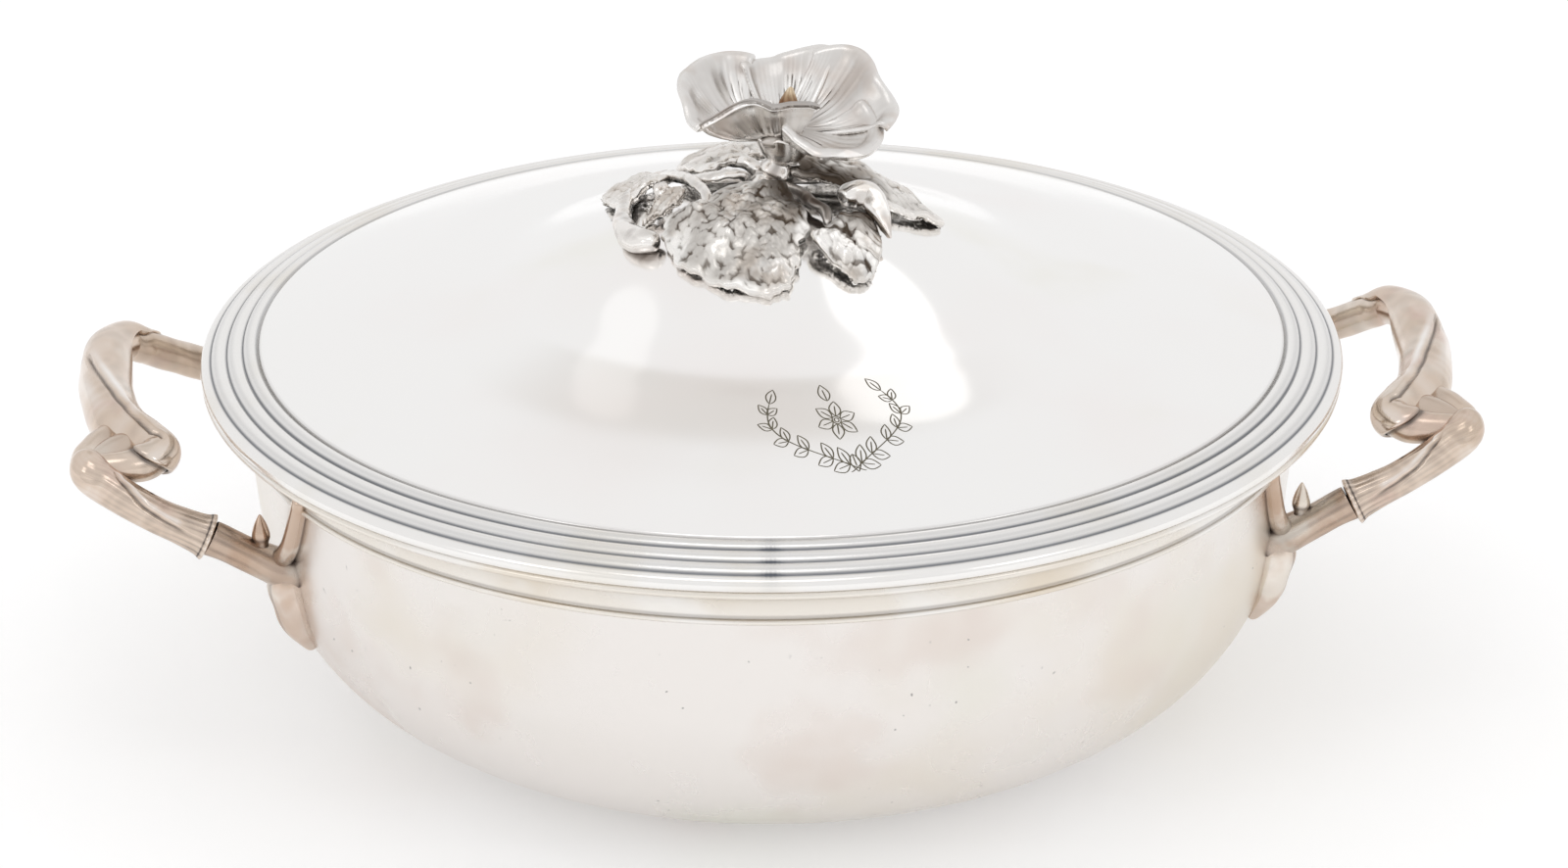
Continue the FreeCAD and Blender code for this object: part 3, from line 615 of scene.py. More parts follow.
stub_hollow = (0.7 * mound(from_split, 0.12) * split_run + 0.8 * mound(stub_place - 0.1, 0.35) + 0.1
               + 0.1 * np.abs(lumps(stub_base, 5, 42)) + 0.3 * stub_flutes * mound(stub_place - 2.7, 1.2))
lobe_place = fine_ends(5, 8, 60)
lobe_share = along(np.array(lobe_rows)[:, 1:], lobe_place) * round_end(lobe_place, 0, 5, 0.5)[..., None]
lobe_half, lobe_deep = lobe_share[..., 0] * lobe_width / 2, lobe_share[..., 1] * lobe_depth
lobe_crease = mound(np.sin(around / 2) * 2 * np.sign(np.cos(around / 2)), 0.28) * unit(4.2 - lobe_place)
lobe_base = swept(lobe_line, lobe_place, around, lobe_half, 0, lobe_deep, outward)
lobe_relief = 0.2 * lumps(lobe_base, 7, 43) - 0.5 * lobe_crease
lobe_hollow = (0.6 * lobe_crease + 0.7 * mound(lobe_place - 0.2, 0.5) + 0.12 * np.abs(lumps(lobe_base, 4, 44))
               - 0.3)
brace_place = np.linspace(0, 2, 40)[:, None]
brace_thick = size_along(brace_rows, 2, brace_place) * brace_radius * round_end(brace_place, 0, 2, 0.2)
thorn_place = np.concatenate([np.linspace(0, 3.7, 40), 4 - 0.3 * np.linspace(1, 0, 10)[1:] ** 2])[:, None]
thorn_thick = size_along(thorn_rows, 1, thorn_place) * thorn_radius * round_end(thorn_place, -1, 4, 0.25)
root_parts = [
    (swept(stub_line, stub_place, around, stub_thick, stub_relief), stub_hollow),
    (swept(lobe_line, lobe_place, around, lobe_half, lobe_relief, lobe_deep, outward), lobe_hollow),
    (swept(brace_line, brace_place, around, brace_thick, up=outward), 0.5 * mound(brace_place - 0.3, 0.4)),
    (swept(thorn_line, thorn_place, around, thorn_thick, up=east),
     0.6 * mound(thorn_place - 1.7, 0.25) + 0.7 * mound(thorn_place - 0.8, 0.5))]
root_parts = [(outside_bowl(points), hollow) for points, hollow in root_parts]
for side, flip_x in sides:
    for end, flip_y in (("front", 1), ("rear", -1)):
        root = surface("root_%s_%s" % (end, side), root_silver, *mirrored(root_parts, flip_x, flip_y))
        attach(root, "bowl")
        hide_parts("handle_%s_root_%s" % (end, side))

# Lid: raised from one sheet, domed at the crown and drawn into a shallow cove below it. It is the
# brightest piece, with fine polishing scratches and faint rose clouds.
lid_edge_radius, lid_edge_height, lid_peak_rise, lid_thickness = 111.5, 82.9, 30.0, 1.3
lid_rows = np.array([(0.0, 1.0), (0.2, 0.88), (0.33, 0.69), (0.44, 0.53), (0.55, 0.388), (0.6, 0.355),
                     (0.66, 0.318), (0.71, 0.287), (0.74, 0.265), (0.8, 0.211), (0.9, 0.112), (1.0, 0.0)])


def spline_slopes(x, y):
    """Slopes of the cubic through the points whose bend is steady at each, level at the first."""
    gap, step = np.diff(x), np.diff(y) / np.diff(x)
    system = np.zeros((len(x), len(x)))
    system[0, 0] = 1
    inner = np.arange(1, len(x) - 1)
    system[inner, inner - 1], system[inner, inner + 1] = gap[1:], gap[:-1]
    system[inner, inner] = 2 * (gap[1:] + gap[:-1])
    system[-1, -2:] = (1, 2)
    pull = 3 * (gap[1:] * step[:-1] + gap[:-1] * step[1:])
    return np.linalg.solve(system, np.concatenate([[0], pull, [3 * step[-1]]]))


lid_x, lid_y = lid_rows[:, 0] * lid_edge_radius, lid_rows[:, 1] * lid_peak_rise + lid_edge_height
lid_slopes = spline_slopes(lid_x, lid_y)


def dome_height(radius):
    """Height of the lid's top at a distance from the axis, on the smooth cubic through its rows."""
    at = np.clip(np.searchsorted(lid_x, radius, "right") - 1, 0, len(lid_x) - 2)
    gap = lid_x[at + 1] - lid_x[at]
    f = (radius - lid_x[at]) / gap
    return (lid_y[at] * (1 + 2 * f) * (1 - f) ** 2 + lid_y[at + 1] * f ** 2 * (3 - 2 * f)
            + gap * (lid_slopes[at] * f * (1 - f) ** 2 + lid_slopes[at + 1] * f ** 2 * (f - 1)))


dome_radii = np.linspace(0, lid_edge_radius, 180)
dome_top = np.stack([dome_radii, dome_height(dome_radii)], -1)
dome_outline = np.concatenate([dome_top[:-1], [(lid_edge_radius - 0.1, lid_edge_height - 0.05),
                                               (lid_edge_radius, lid_edge_height - 0.3)],
                               dome_top[::-1] - (0, lid_thickness)])
dome_hollow = 0.25 * mound(dome_outline[:, 0] - lid_edge_radius, 0.35)
lid_silver = silver("lid_silver", (0.93, 0.92, 0.905),
                    [((0.92, 0.885, 0.865), 0.09, 0.5, 0.75, 0.15),
                     ((0.9, 0.885, 0.84), 0.05, 0.55, 0.75, 0.66)],
                    0.13, 0.000005, brush=0.5)
lid = surface("lid", lid_silver, (turned(dome_outline), dome_hollow[:, None]))
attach(lid, "lid")
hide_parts("lid_shell")

# Engraved ornament: two leafy sprays that cross below a rosette, cut into the front of the dome by
# hand. Tarnish stays in the fine lines, so each is a dark thread let into the surface.
ornament_middle, ornament_turn, ornament_stretch = np.array([8.8, -78.0]), math.radians(11), 1.6
line_width, line_rise = 0.17, 0.03
spray_reach, spray_drop, spray_height, spray_cross = 13.5, -9.5, 16.0, 1.6
leaf_length, leaf_bulge, leaf_turn = 3.6, 0.95, 0.75
leaf_places = (0.2, 0.34, 0.48, 0.62, 0.76, 0.9)
rosette_radius, rosette_petals, rosette_turn, rosette_middle = 3.4, 6, 0.26, np.array([0, 1.0])


def lens(start, heading, length, bulge):
    """A pointed leaf's outline and rib: start + heading share length, and to both sides of it, square to
    it, bulge sin(pi share to the power 0.85)."""
    share = np.linspace(0, 1, 17)[:, None]
    heading = heading / np.linalg.norm(heading)
    square = np.array([-heading[1], heading[0]])
    middle = start + heading * share * length
    swell = square * bulge * np.sin(np.pi * share ** 0.85)
    return [middle + swell, middle - swell, middle[:12]]


def rotated(points, turn):
    """Flat points turned by an angle about the middle."""
    return points @ np.array([[math.cos(turn), math.sin(turn)], [-math.sin(turn), math.cos(turn)]])


strokes = []
share = np.linspace(0, 1, 41)[:, None]
for flip in (1, -1):
    spray = np.concatenate([flip * spray_reach * (np.sin(1.75 * share) - 0.14 * np.sin(6.3 * share)),
                            spray_drop + spray_height * share ** 1.5], -1) - (flip * spray_cross, 0)
    strokes.append(spray)
    for spot in leaf_places:
        at = int(spot * 40)
        for turn in (leaf_turn, -leaf_turn):
            strokes += lens(spray[at], rotated(spray[at + 1] - spray[at - 1], turn),
                            leaf_length * (1.1 - 0.4 * spot), leaf_bulge * (1.1 - 0.3 * spot))
    strokes += lens(spray[-1], spray[-1] - spray[-2], leaf_length, leaf_bulge)
for number in range(rosette_petals):
    angle = 2 * math.pi * number / rosette_petals + rosette_turn
    heading = np.array([math.cos(angle), math.sin(angle)])
    strokes += lens(heading * 0.9 + rosette_middle, heading, rosette_radius, 1.1)
ring_turn = np.linspace(0, 2 * np.pi, 25)[:, None]
for radius in (0.45, 0.85):
    strokes.append(np.concatenate([np.cos(ring_turn), np.sin(ring_turn)], -1) * radius + rosette_middle)
for foot, heading, length, bulge in ((5.4, 1.0, 3.8, 1.1), (-6.2, -1.0, 3.4, 1.0)):
    strokes += lens(np.array([0.0, foot]), np.array([0.0, heading]), length, bulge)
thread_turn = np.linspace(0, 2 * np.pi, 7)[None, :]
threads = []
for stroke in strokes:
    flat = rotated(stroke * (1, ornament_stretch), ornament_turn) + ornament_middle
    line = np.concatenate([flat, dome_height(np.linalg.norm(flat, axis=-1))[:, None]], -1)
    place = np.linspace(0, len(line) - 1, 2 * len(line))[:, None]
    taper = round_end(place, -0.3, len(line) - 0.7, 3)
    threads.append((swept(line, place, thread_turn, line_width * taper, 0, line_rise * taper), 0.8))
line_silver = silver("cut_line", (0.30, 0.27, 0.21), [((0.5, 0.45, 0.34), 0.003, 0.5, 0.65, 0.3)],
                     0.4, 0.00001, tarnish_and_shade_colour=(0.14, 0.125, 0.09))
engraving = surface("engraving", line_silver, *threads)
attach(engraving, "lid")

# Reeded border: a heavy moulded strip soldered under the dome's edge, with three reeds and a
# rounded outer one. Polish has left dark tarnish in the grooves, and on the hammered seam in front,
# where the strip's two ends meet. The outer half of each reed is darkened as painted shade.
reed_start, reed_widths, reed_fall, reed_crown = 112.1, (2.9, 3.5, 3.5), 0.27, 0.8
border_lap, border_sheet, border_seat, outer_reed_crown = 3.6, 2.0, 5.0, 0.38
lid_seat = bowl_height + 0.1


def reed(start, end, crown):
    """A round-topped strip from start to end, raised square to them by crown times
    (1 - (2 share - 1) squared) to the power 0.7."""
    start, end = np.array(start), np.array(end)
    fall = end - start
    out = np.array([-fall[1], fall[0]]) / np.linalg.norm(fall)
    share = np.linspace(0, 1, 18)[:, None]
    return start + fall * share + out * crown * (1 - (2 * share - 1) ** 2) ** 0.7


rim_reach = bowl_mouth_radius + band_reach
lid_under = lid_edge_height - lid_thickness
groove = np.array([reed_start, lid_edge_height - lid_thickness * reed_fall])
border_start = (lid_edge_radius - 0.2, lid_edge_height - 0.9)
border_top = [[border_start, (lid_edge_radius + 0.1, lid_edge_height - 0.7)]]
groove_radii = [lid_edge_radius + 0.15]
for width in reed_widths:
    end = groove + (width, -width * reed_fall)
    border_top.append(reed(groove, end, reed_crown))
    groove_radii.append(groove[0])
    groove = end
groove_radii.append(groove[0])
outer_reach = math.hypot(rim_reach - groove[0], groove[1] - lid_seat)
border_top.append(reed(groove, (rim_reach - 0.25, lid_seat), outer_reed_crown * outer_reach))
border_inner = lid_edge_radius - border_lap
border_outline = np.concatenate(border_top + [
    [(rim_reach - border_seat, lid_seat), (border_inner, lid_under - border_sheet), (border_inner, lid_under),
     border_start]])
border_out, border_up = border_outline[:, :1], border_outline[:, 1:]
groove_darks = (0.3, 0.45, 0.9, 0.9, 0.9)
border_tarnish_and_shade = sum(dark * mound(border_out - radius, 0.24)
                    for radius, dark in zip(groove_radii, groove_darks))
# Painted shade: the outer, falling half of each of the three reeds is darkened.
border_tarnish_and_shade = border_tarnish_and_shade + sum(0.2 * mound(border_out - radius + 0.9, 0.6)
                                    for radius in groove_radii[2:])
border_tarnish_and_shade = border_tarnish_and_shade * (border_up > lid_seat + 0.2)
border_silver = silver("border_silver", (0.88, 0.865, 0.845),
                       [((0.84, 0.81, 0.76), 0.03, 0.5, 0.72, 0.35)],
                       0.19, 0.00002, tarnish_and_shade_colour=(0.12, 0.13, 0.15), brush=0.5)
seam_angle, seam_half, seam_reach, seam_pitch = 4.651, 0.015, 0.032, 0.9
border_turns = np.sort(np.concatenate([np.linspace(0, 2 * np.pi, turns + 1),
                                       seam_angle + np.linspace(-seam_reach, seam_reach, 53)]))
seam_wear = sum(mound(border_out - radius - 0.35, 0.75) for radius in groove_radii)
seam_waves = np.cos(2 * np.pi * (border_turns - seam_angle) * rim_reach / seam_pitch)
seam = mound(border_turns - seam_angle, seam_half) * (0.08 + 0.6 * seam_wear * (0.75 + 0.25 * seam_waves))
seam = seam * (border_out > reed_start) * (border_up > lid_seat + 0.2)
border = surface("reeded_border", border_silver,
                 (turned(border_outline, border_turns), unit(border_tarnish_and_shade + seam)))
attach(border, "lid")
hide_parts("lid_reeded_border")

# Bezel: a plain ring soldered under the border, which drops into the bowl's mouth and keeps the
# lid in its place. It shows only when the lid is off.
bezel_gap, bezel_sheet, bezel_drop, bezel_round = 0.45, 1.2, 6.5, 0.4

bezel_low = bowl_height - bezel_drop
bezel_outer = bowl_wall(bezel_low) - bowl_thickness / math.cos(bowl_lean) - bezel_gap
bezel_inner = bezel_outer - bezel_sheet


def border_under(radius):
    """The border's underside: level at its seat, then straight up to its inner edge."""
    rise, inner = lid_under - border_sheet - lid_seat, rim_reach - border_seat
    return lid_seat + rise * max(inner - radius, 0) / (inner - border_inner)


bezel_start = (bezel_inner, border_under(bezel_inner))
bezel_outline = np.concatenate([
    [bezel_start],
    arc((bezel_inner + bezel_round, bezel_low + bezel_round), bezel_round, -math.pi / 2, 0, 5),
    arc((bezel_outer - bezel_round, bezel_low + bezel_round), bezel_round, 0, math.pi / 2, 5),
    [(bezel_outer, border_under(bezel_outer)), bezel_start]])
bezel = surface("bezel", band_silver, (turned(bezel_outline), 0.0))
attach(bezel, "lid")
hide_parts("lid_bezel")

# Finial's stem: a threaded stud through the lid, a ribbed knob that sits on the crown and a
# knotted stalk that leans to the flower. Below the lid a washer and a nut hold it.
stud_radius, stud_drop, knob_radius, knob_height = 2.5, 9.0, 5.0, 3.4
stalk_radius, stalk_height, flower_lean = 3.4, 3.2, 3.0
peak = dome_height(0.0)
flower_foot = np.array([flower_lean, 0, peak + knob_height + stalk_height])

flower_silver = silver("flower_silver", (0.86, 0.83, 0.795),
                       [((0.74, 0.69, 0.64), 0.009, 0.5, 0.68, 0.12),
                        ((0.90, 0.88, 0.85), 0.007, 0.5, 0.66, 0.52),
                        ((0.79, 0.70, 0.64), 0.014, 0.54, 0.7, 0.77)],
                       0.2, 0.00002, tarnish_and_shade_colour=(0.15, 0.12, 0.10), brush=0.5, pocket=0.003)
small_around = np.linspace(0, 2 * np.pi, 73)[None, :]
stud_low = peak - stud_drop
stud_outline = [(0, stud_low), (stud_radius - 0.3, stud_low), (stud_radius, stud_low + 0.3),
                (stud_radius, peak + 1), (0, peak + 1)]
knob_rows = np.array([(4.2, -1.2), (4.8, -0.3), (5.0, 0.9), (4.6, 2.2), (3.7, 3.0), (3.1, 3.5)]) + (0, peak)
knob_outline = np.concatenate([[(0, knob_rows[0][1])], along(knob_rows, np.linspace(0, 5, 30)),
                               [(0, knob_rows[-1][1])]])
knob_grid = turned(knob_outline, 72)
knob_ribs = 0.35 * np.cos(7 * small_around) * (knob_outline[:, :1] / knob_radius)
knob_grid = knob_grid * (1 + knob_ribs[..., None] / knob_radius * (1, 1, 0))
stalk_line = np.array([(0, 0, peak + 1.7), (flower_lean / 3, 0, peak + knob_height),
                       flower_foot + (-0.5, 0, 0.2), flower_foot + (0, 0, 1.2)])
stalk_place = np.linspace(0, 3, 40)[:, None]
stalk_thick = stalk_radius * (1 + 0.16 * np.cos(5 * stalk_place)) * round_end(stalk_place, -1, 3, 0.1)
stalk_grid = swept(stalk_line, stalk_place, small_around, stalk_thick,
                   0.18 * np.cos(5 * small_around), up=east)
finial_stem = surface("finial_stem", flower_silver, (turned(stud_outline, 72), 0.0),
                      (knob_grid, 0.5 * unit(-knob_ribs / 0.35)),
                      (stalk_grid, 0.1 + 0.4 * np.cos(5 * small_around + np.pi)))
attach(finial_stem, "lid")
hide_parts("finial_stem")
for node in ("finial_washer", "finial_nut"):
    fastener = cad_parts[node]
    fastener.data.materials.clear()
    fastener.data.materials.append(band_silver)

# Calyx and pistil: a small cup with seven pointed sepals carries the petals on a low seat, with a
# heel under the front one, and a gilt pistil stands in the flower's throat.
calyx_radius, calyx_height, pistil_radius, pistil_height = 5.8, 3.6, 2.2, 13.0
calyx_rows = np.array([(2.6, -0.8), (3.4, 0.2), (4.4, 1.2), (5.3, 2.4), (6.0, 3.7), (6.1, 4.6), (4.6, 5.3)])
sepals = ((-104, 2.6), (-66, 1.9), (-150, 2.2), (168, 1.8), (100, 1.4), (-26, 0.4), (30, 0.7))

calyx_outline = np.concatenate([[(0, -0.8)], along(calyx_rows, np.linspace(0, 6, 36)),
                                [(2.4, 6.3), (0, 6.4)]])
calyx_share = calyx_outline[:, :1] / calyx_radius
sepal = sum(height * mound((small_around * 180 / math.pi - angle + 180) % 360 - 180, 20)
            for angle, height in sepals)
sepal_share = unit((calyx_outline[:, 1:] - 1.5) / 2.5) * unit(calyx_share * 2 - 1)
calyx_grid = turned(calyx_outline, 72) * (1 + (0.09 * sepal - 0.08) * sepal_share)[..., None] ** (1, 1, 0)
calyx_grid = calyx_grid + flower_foot + (0.9 * sepal * sepal_share)[..., None] * up
seat_rows = np.array([(0.0, 4.2), (2.6, 4.5), (4.2, 5.4), (4.3, 6.6), (3.2, 7.6), (0.0, 8.2)])
petal_seat = turned(along(seat_rows, np.linspace(0, 5, 30)), 72) + flower_foot
heel_place, heel_size = np.array([-2.2, -4.6, 6.1]), (3.0, 1.8, 1.7)
heel = turned(arc((0, 0), 1, 0, math.pi, 20), 48) * heel_size + heel_place + flower_foot
calyx = surface("calyx", flower_silver, (calyx_grid, 0.2 - 0.35 * np.clip(sepal, 0, 1.5) * sepal_share),
                (petal_seat, 0.3), (heel, 0.3))
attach(calyx, "lid")
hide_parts("flower_calyx")

gilt = silver("gilt", (0.74, 0.62, 0.46), [((0.6, 0.46, 0.3), 0.004, 0.45, 0.65, 0.2)], 0.3, 0.00005,
              tarnish_and_shade_colour=(0.25, 0.13, 0.07))
pistil_rows = ((0, 0, 0.7), (1 / 4, 0.6, 1.0), (0.4, 0.85, 0.6), (1 / 2, 1, 0.15))
pistil_line = flower_foot + np.array([(share * flower_lean, 0, calyx_height + rise * pistil_height)
                                      for share, rise, size in pistil_rows])
pistil_place = np.concatenate([np.linspace(0, 2.7, 40), 3 - 0.3 * np.linspace(1, 0, 10)[1:] ** 2])[:, None]
pistil_thick = size_along(pistil_rows, 2, pistil_place) * pistil_radius * round_end(pistil_place, -1, 3, 0.2)
pistil_twist = np.cos(6 * small_around + 4 * pistil_place)
pistil_points = swept(pistil_line, pistil_place, small_around, pistil_thick, 0.12 * pistil_twist, up=east)
pistil = surface("pistil", gilt, (pistil_points, 0.25 * unit(-pistil_twist) + 0.9 * unit(2.5 - pistil_place)))
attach(pistil, "lid")
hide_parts("flower_pistil")

# Petals: five cast petals spring from the calyx. Fine ribs run from throat to rim, the rims are
# ruffled and rolled outwards, and one laps over the next.
throat_radius, flower_radius, flower_rise, petal_sheet = 3.3, 24.0, 14.5, 1.2
petal_spread, petal_cup = 0.75, 1.4
petal_rims = {
    "petal_left": (0, 34, 1, ((208, 0.9, 0.41), (198, 0.93, 0.47), (188, 0.93, 0.66), (177, 0.96, 0.81),
        (166, 0.96, 0.91), (157, 0.93, 0.94), (146, 0.9, 0.98), (129, 0.91, 0.95), (120, 0.86, 0.96),
        (113, 0.8, 0.95), (107, 0.72, 0.92))),
    "petal_rear": (0, 0, 0, ((124, 0.66, 0.86), (114, 0.72, 0.84), (104, 0.76, 0.83), (94, 0.8, 0.81),
        (88, 0.84, 0.83), (82, 0.86, 0.87), (76, 0.88, 0.92), (70, 0.9, 0.96), (63, 0.92, 0.98),
        (54, 0.94, 0.94))),
    "petal_rear_right": (22, 0, 1, ((65, 0.82, 0.94), (60, 0.87, 0.98), (54, 0.93, 1.0), (48, 1.0, 1.0),
        (40, 1.02, 0.97), (29, 0.97, 0.91), (18, 0.93, 0.76), (8, 1.0, 0.5), (0, 1.02, 0.34),
        (-10, 0.92, 0.2))),
    "petal_front_right": (6, 0, 2, ((14, 0.74, 0.45), (4, 0.82, 0.26), (-8, 0.87, 0.13),
        (-22, 0.88, 0.05), (-36, 0.87, 0.03), (-51, 0.86, 0.07), (-61, 0.8, 0.1), (-70, 0.76, 0.12),
        (-76, 0.66, 0.2), (-84, 0.56, 0.3), (-91, 0.52, 0.41), (-97, 0.5, 0.48))),
    "petal_front": (0, 0, 3, ((-48, 0.42, 0.64), (-60, 0.42, 0.72), (-72, 0.42, 0.75),
        (-86, 0.44, 0.77), (-98, 0.47, 0.75), (-107, 0.5, 0.75), (-114, 0.54, 0.82), (-122, 0.58, 0.87),
        (-128, 0.64, 0.86), (-135, 0.7, 0.78), (-140, 0.78, 0.67), (-146, 0.86, 0.54),
        (-154, 0.86, 0.4), (-165, 0.82, 0.3))),
}


def thin_sheet(points, thickness, ring=False):
    """Two faces over a grid of points, one a thickness behind the other along the grid's normal. Near
    the rims both swell to a bead and close on each other in a round. A ring has a rim at its last row."""
    normal = np.cross(np.gradient(points, axis=0), np.gradient(points, axis=1))
    normal /= np.linalg.norm(normal, axis=-1, keepdims=True) + 1e-9
    row_run = np.cumsum(np.linalg.norm(np.diff(points, axis=0, prepend=points[:1]), axis=-1), axis=0)
    near = row_run[-1:] - row_run
    if not ring:
        column_run = np.linalg.norm(np.diff(points, axis=1, prepend=points[:, :1]), axis=-1)
        column_run = np.cumsum(column_run, axis=1)
        near = np.minimum(np.minimum(near, row_run), np.minimum(column_run, column_run[:, -1:] - column_run))
    bead = 1 + 0.3 * mound(near - 0.6 * abs(thickness), 0.7)
    half = (thickness / 2 * bead * round_off(near / (abs(thickness) * 0.6)))[..., None]
    middle = points - normal * thickness / 2
    return middle + normal * half, middle - normal * half


petal_silver = silver("petal_silver", (0.97, 0.95, 0.925),
                      [((0.86, 0.81, 0.765), 0.008, 0.5, 0.7, 0.12),
                       ((0.98, 0.97, 0.95), 0.007, 0.5, 0.66, 0.52),
                       ((0.88, 0.81, 0.76), 0.014, 0.54, 0.7, 0.77)],
                      0.21, 0.00002, tarnish_and_shade_colour=(0.2, 0.165, 0.14), brush=0.5, pocket=0.0015)
petal_across = 0.5 - 0.5 * np.cos(np.linspace(0, np.pi, 90))
petal_across = (0.35 * petal_across + 0.65 * np.linspace(0, 1, 90))[None, :]
petal_down = (1 - (1 - np.linspace(0, 1, 72)) ** 1.2)[:, None]
petal_centre = flower_foot + (0, 0, calyx_height + petal_sheet + 0.05)
for number, (name, (first_turn, last_turn, layer, rim)) in enumerate(petal_rims.items()):
    rim_turn, rim_out, rim_up = np.moveaxis(along(rim, petal_across * (len(rim) - 1)), -1, 0)
    bend = first_turn * (1 - petal_across) + last_turn * petal_across
    angle = np.radians(rim_turn + (1 - petal_down) * bend)
    middle_share = 1 - (2 * petal_across - 1) ** 2
    throat = throat_radius * 0.7 - 0.35 * layer
    radius = throat + (flower_radius * rim_out - throat) * petal_down ** petal_spread
    lip = mound(petal_down - 0.9, 0.07) - mound(petal_down - 1, 0.05)
    ruffle = np.sin(2 * np.pi * (1.9 * petal_across + 0.37 * number)) * petal_down ** 3
    rise = (flower_rise * rim_up * petal_down ** petal_cup + 0.7 * lip
            + 0.3 * ruffle * mound(petal_down - 0.7, 0.3))
    rise = rise + 0.4 * layer * (1 - petal_down) - 1.1 * middle_share * mound(petal_down - 0.5, 0.25)
    ribs = np.cos(2 * np.pi * (9 * petal_across + 0.9 * np.sin(3 * petal_across * np.pi + number)))
    finer = 17 * petal_across + 0.5 * np.sin(5 * petal_across * np.pi + 2 * number)
    ribs = ribs + 0.6 * np.cos(2 * np.pi * finer)
    ribs = ribs * unit(petal_down * 3) * unit((0.97 - petal_down) * 2.5)
    rise = rise + 0.075 * ribs
    petal_points = petal_centre + np.stack([radius * np.cos(angle), radius * np.sin(angle), rise], -1)
    front, back = thin_sheet(petal_points[:, ::-1], -petal_sheet)
    patches = unit(0.5 + lumps(petal_points, 16, 90 + number))
    marks = (0.26 * unit(-ribs) * (1.2 - patches) + 0.6 * unit(1 - 3.4 * petal_down)
             + 0.04 * np.abs(lumps(petal_points, 4, 50 + number)) - 0.5 * unit(ribs) * patches
             - 0.7 * mound(petal_down - 0.97, 0.035) + 0.12 * unit(lumps(petal_points, 13, 95 + number)))
    marks = marks[:, ::-1]
    # Painted shade: the petals' undersides are darker than their tops, the front petal's most, and carry the
    # tops' marks as well.
    underside_shade_and_marks = (0.75 if name == "petal_front" else 0.35) + 0.4 * np.clip(marks, -0.3, 1)
    petal = surface("flower_" + name, petal_silver, (front, marks), (back, underside_shade_and_marks))
    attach(petal, "lid")
    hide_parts(name)

# Shoots and buds: thin vines run out from the knob over the dome and carry the leaves. One curls
# round on the left and ends in a bud, and another bud sits at the front right.
cluster_reach, vine_radius, bud_radius = 38.0, 1.5, 3.0
shade_middle, shade_reach = np.array([12.0, -9.0]), 10.5
vine_rows = {
    "vine_left": ((0.47, -144, 1.8, 0.7), (0.4, -160, 2.8, 0.8), (0.45, 168, 3.2, 0.85),
        (0.62, 148, 3.0, 0.9), (0.84, 136, 2.6, 0.95), (0.89, 146, 2.4, 1.0), (0.84, 166, 2.4, 1.1),
        (0.85, -175, 2.4, 1.3)),
    "vine_left_foot": ((0.13, -178, 3.2, 0.9), (0.22, 178, 3.8, 1.0), (0.34, 174, 3.6, 0.9),
        (0.46, 167, 3.2, 0.7)),
    "vine_rear_left": ((0.1, 118, 2.6, 0.9), (0.24, 125, 4.5, 1.1), (0.4, 135, 5.0, 1.1),
        (0.56, 144, 4.2, 1.0)),
    "vine_right": ((0.1, 5, 2.4, 0.8), (0.22, 8, 2.6, 1.0), (0.36, 11, 3.0, 1.0), (0.46, 12, 3.0, 0.8)),
    "vine_front_right": ((0.1, -50, 2.2, 0.8), (0.26, -50, 2.4, 0.9), (0.36, -55, 2.4, 0.85),
        (0.46, -53, 2.4, 0.8), (0.58, -60, 2.2, 0.7)),
}
bud_rows = {
    "bud_left": ((0.85, -178, 2.4, 0.6), (0.86, -168, 2.4, 0.78), (0.87, -158, 2.4, 0.92),
        (0.85, -150, 2.4, 0.92), (0.81, -144, 2.4, 0.6)),
    "bud_right": ((0.5, -42, 4.6, 0.6), (0.53, -34, 5.4, 1.0), (0.6, -28, 5.6, 1.0),
        (0.69, -33, 5.0, 0.8), (0.77, -38, 4.2, 0.42), (0.84, -41, 3.4, 0.15)),
}


def polar(radius, degrees):
    """Flat points at a distance from the axis and an angle in degrees."""
    angle = np.radians(degrees)
    return np.stack([radius * np.cos(angle), radius * np.sin(angle)], -1)


shoots = {}
for name, rows in {**vine_rows, **bud_rows}.items():
    thick = vine_radius if name in vine_rows else bud_radius
    reach, turn, lift, size = np.array(rows).T
    reach, last = cluster_reach * reach, len(rows) - 1
    line = np.concatenate([polar(reach, turn), (dome_height(reach) + lift)[:, None]], -1)
    place = fine_ends(last, 8, 80)
    size = size_along(rows, 3, place) * thick * round_end(place, 0, last, 0.35)
    base = swept(line, place, small_around, size)
    twist = np.cos(3 * small_around + 2 * place + len(name))
    relief = 0.1 * lumps(base, 4, len(name)) + 0.05 * twist * thick
    shaded = mound(np.linalg.norm(base[..., :2] - shade_middle, axis=-1), shade_reach) * (name in vine_rows)
    points = swept(line, place, small_around, size, relief * round_end(place, 0, last, 0.6))
    hollow = 0.15 * unit(-twist) + 0.12 * np.abs(lumps(base, 3, 70)) - 0.3 * unit(twist) + shaded
    shoots.setdefault(name.removesuffix("_foot"), []).append((points, hollow))
for name, grids in shoots.items():
    shoot = surface(name + "_shoot", flower_silver, *grids)
    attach(shoot, "lid")
    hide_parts(name)

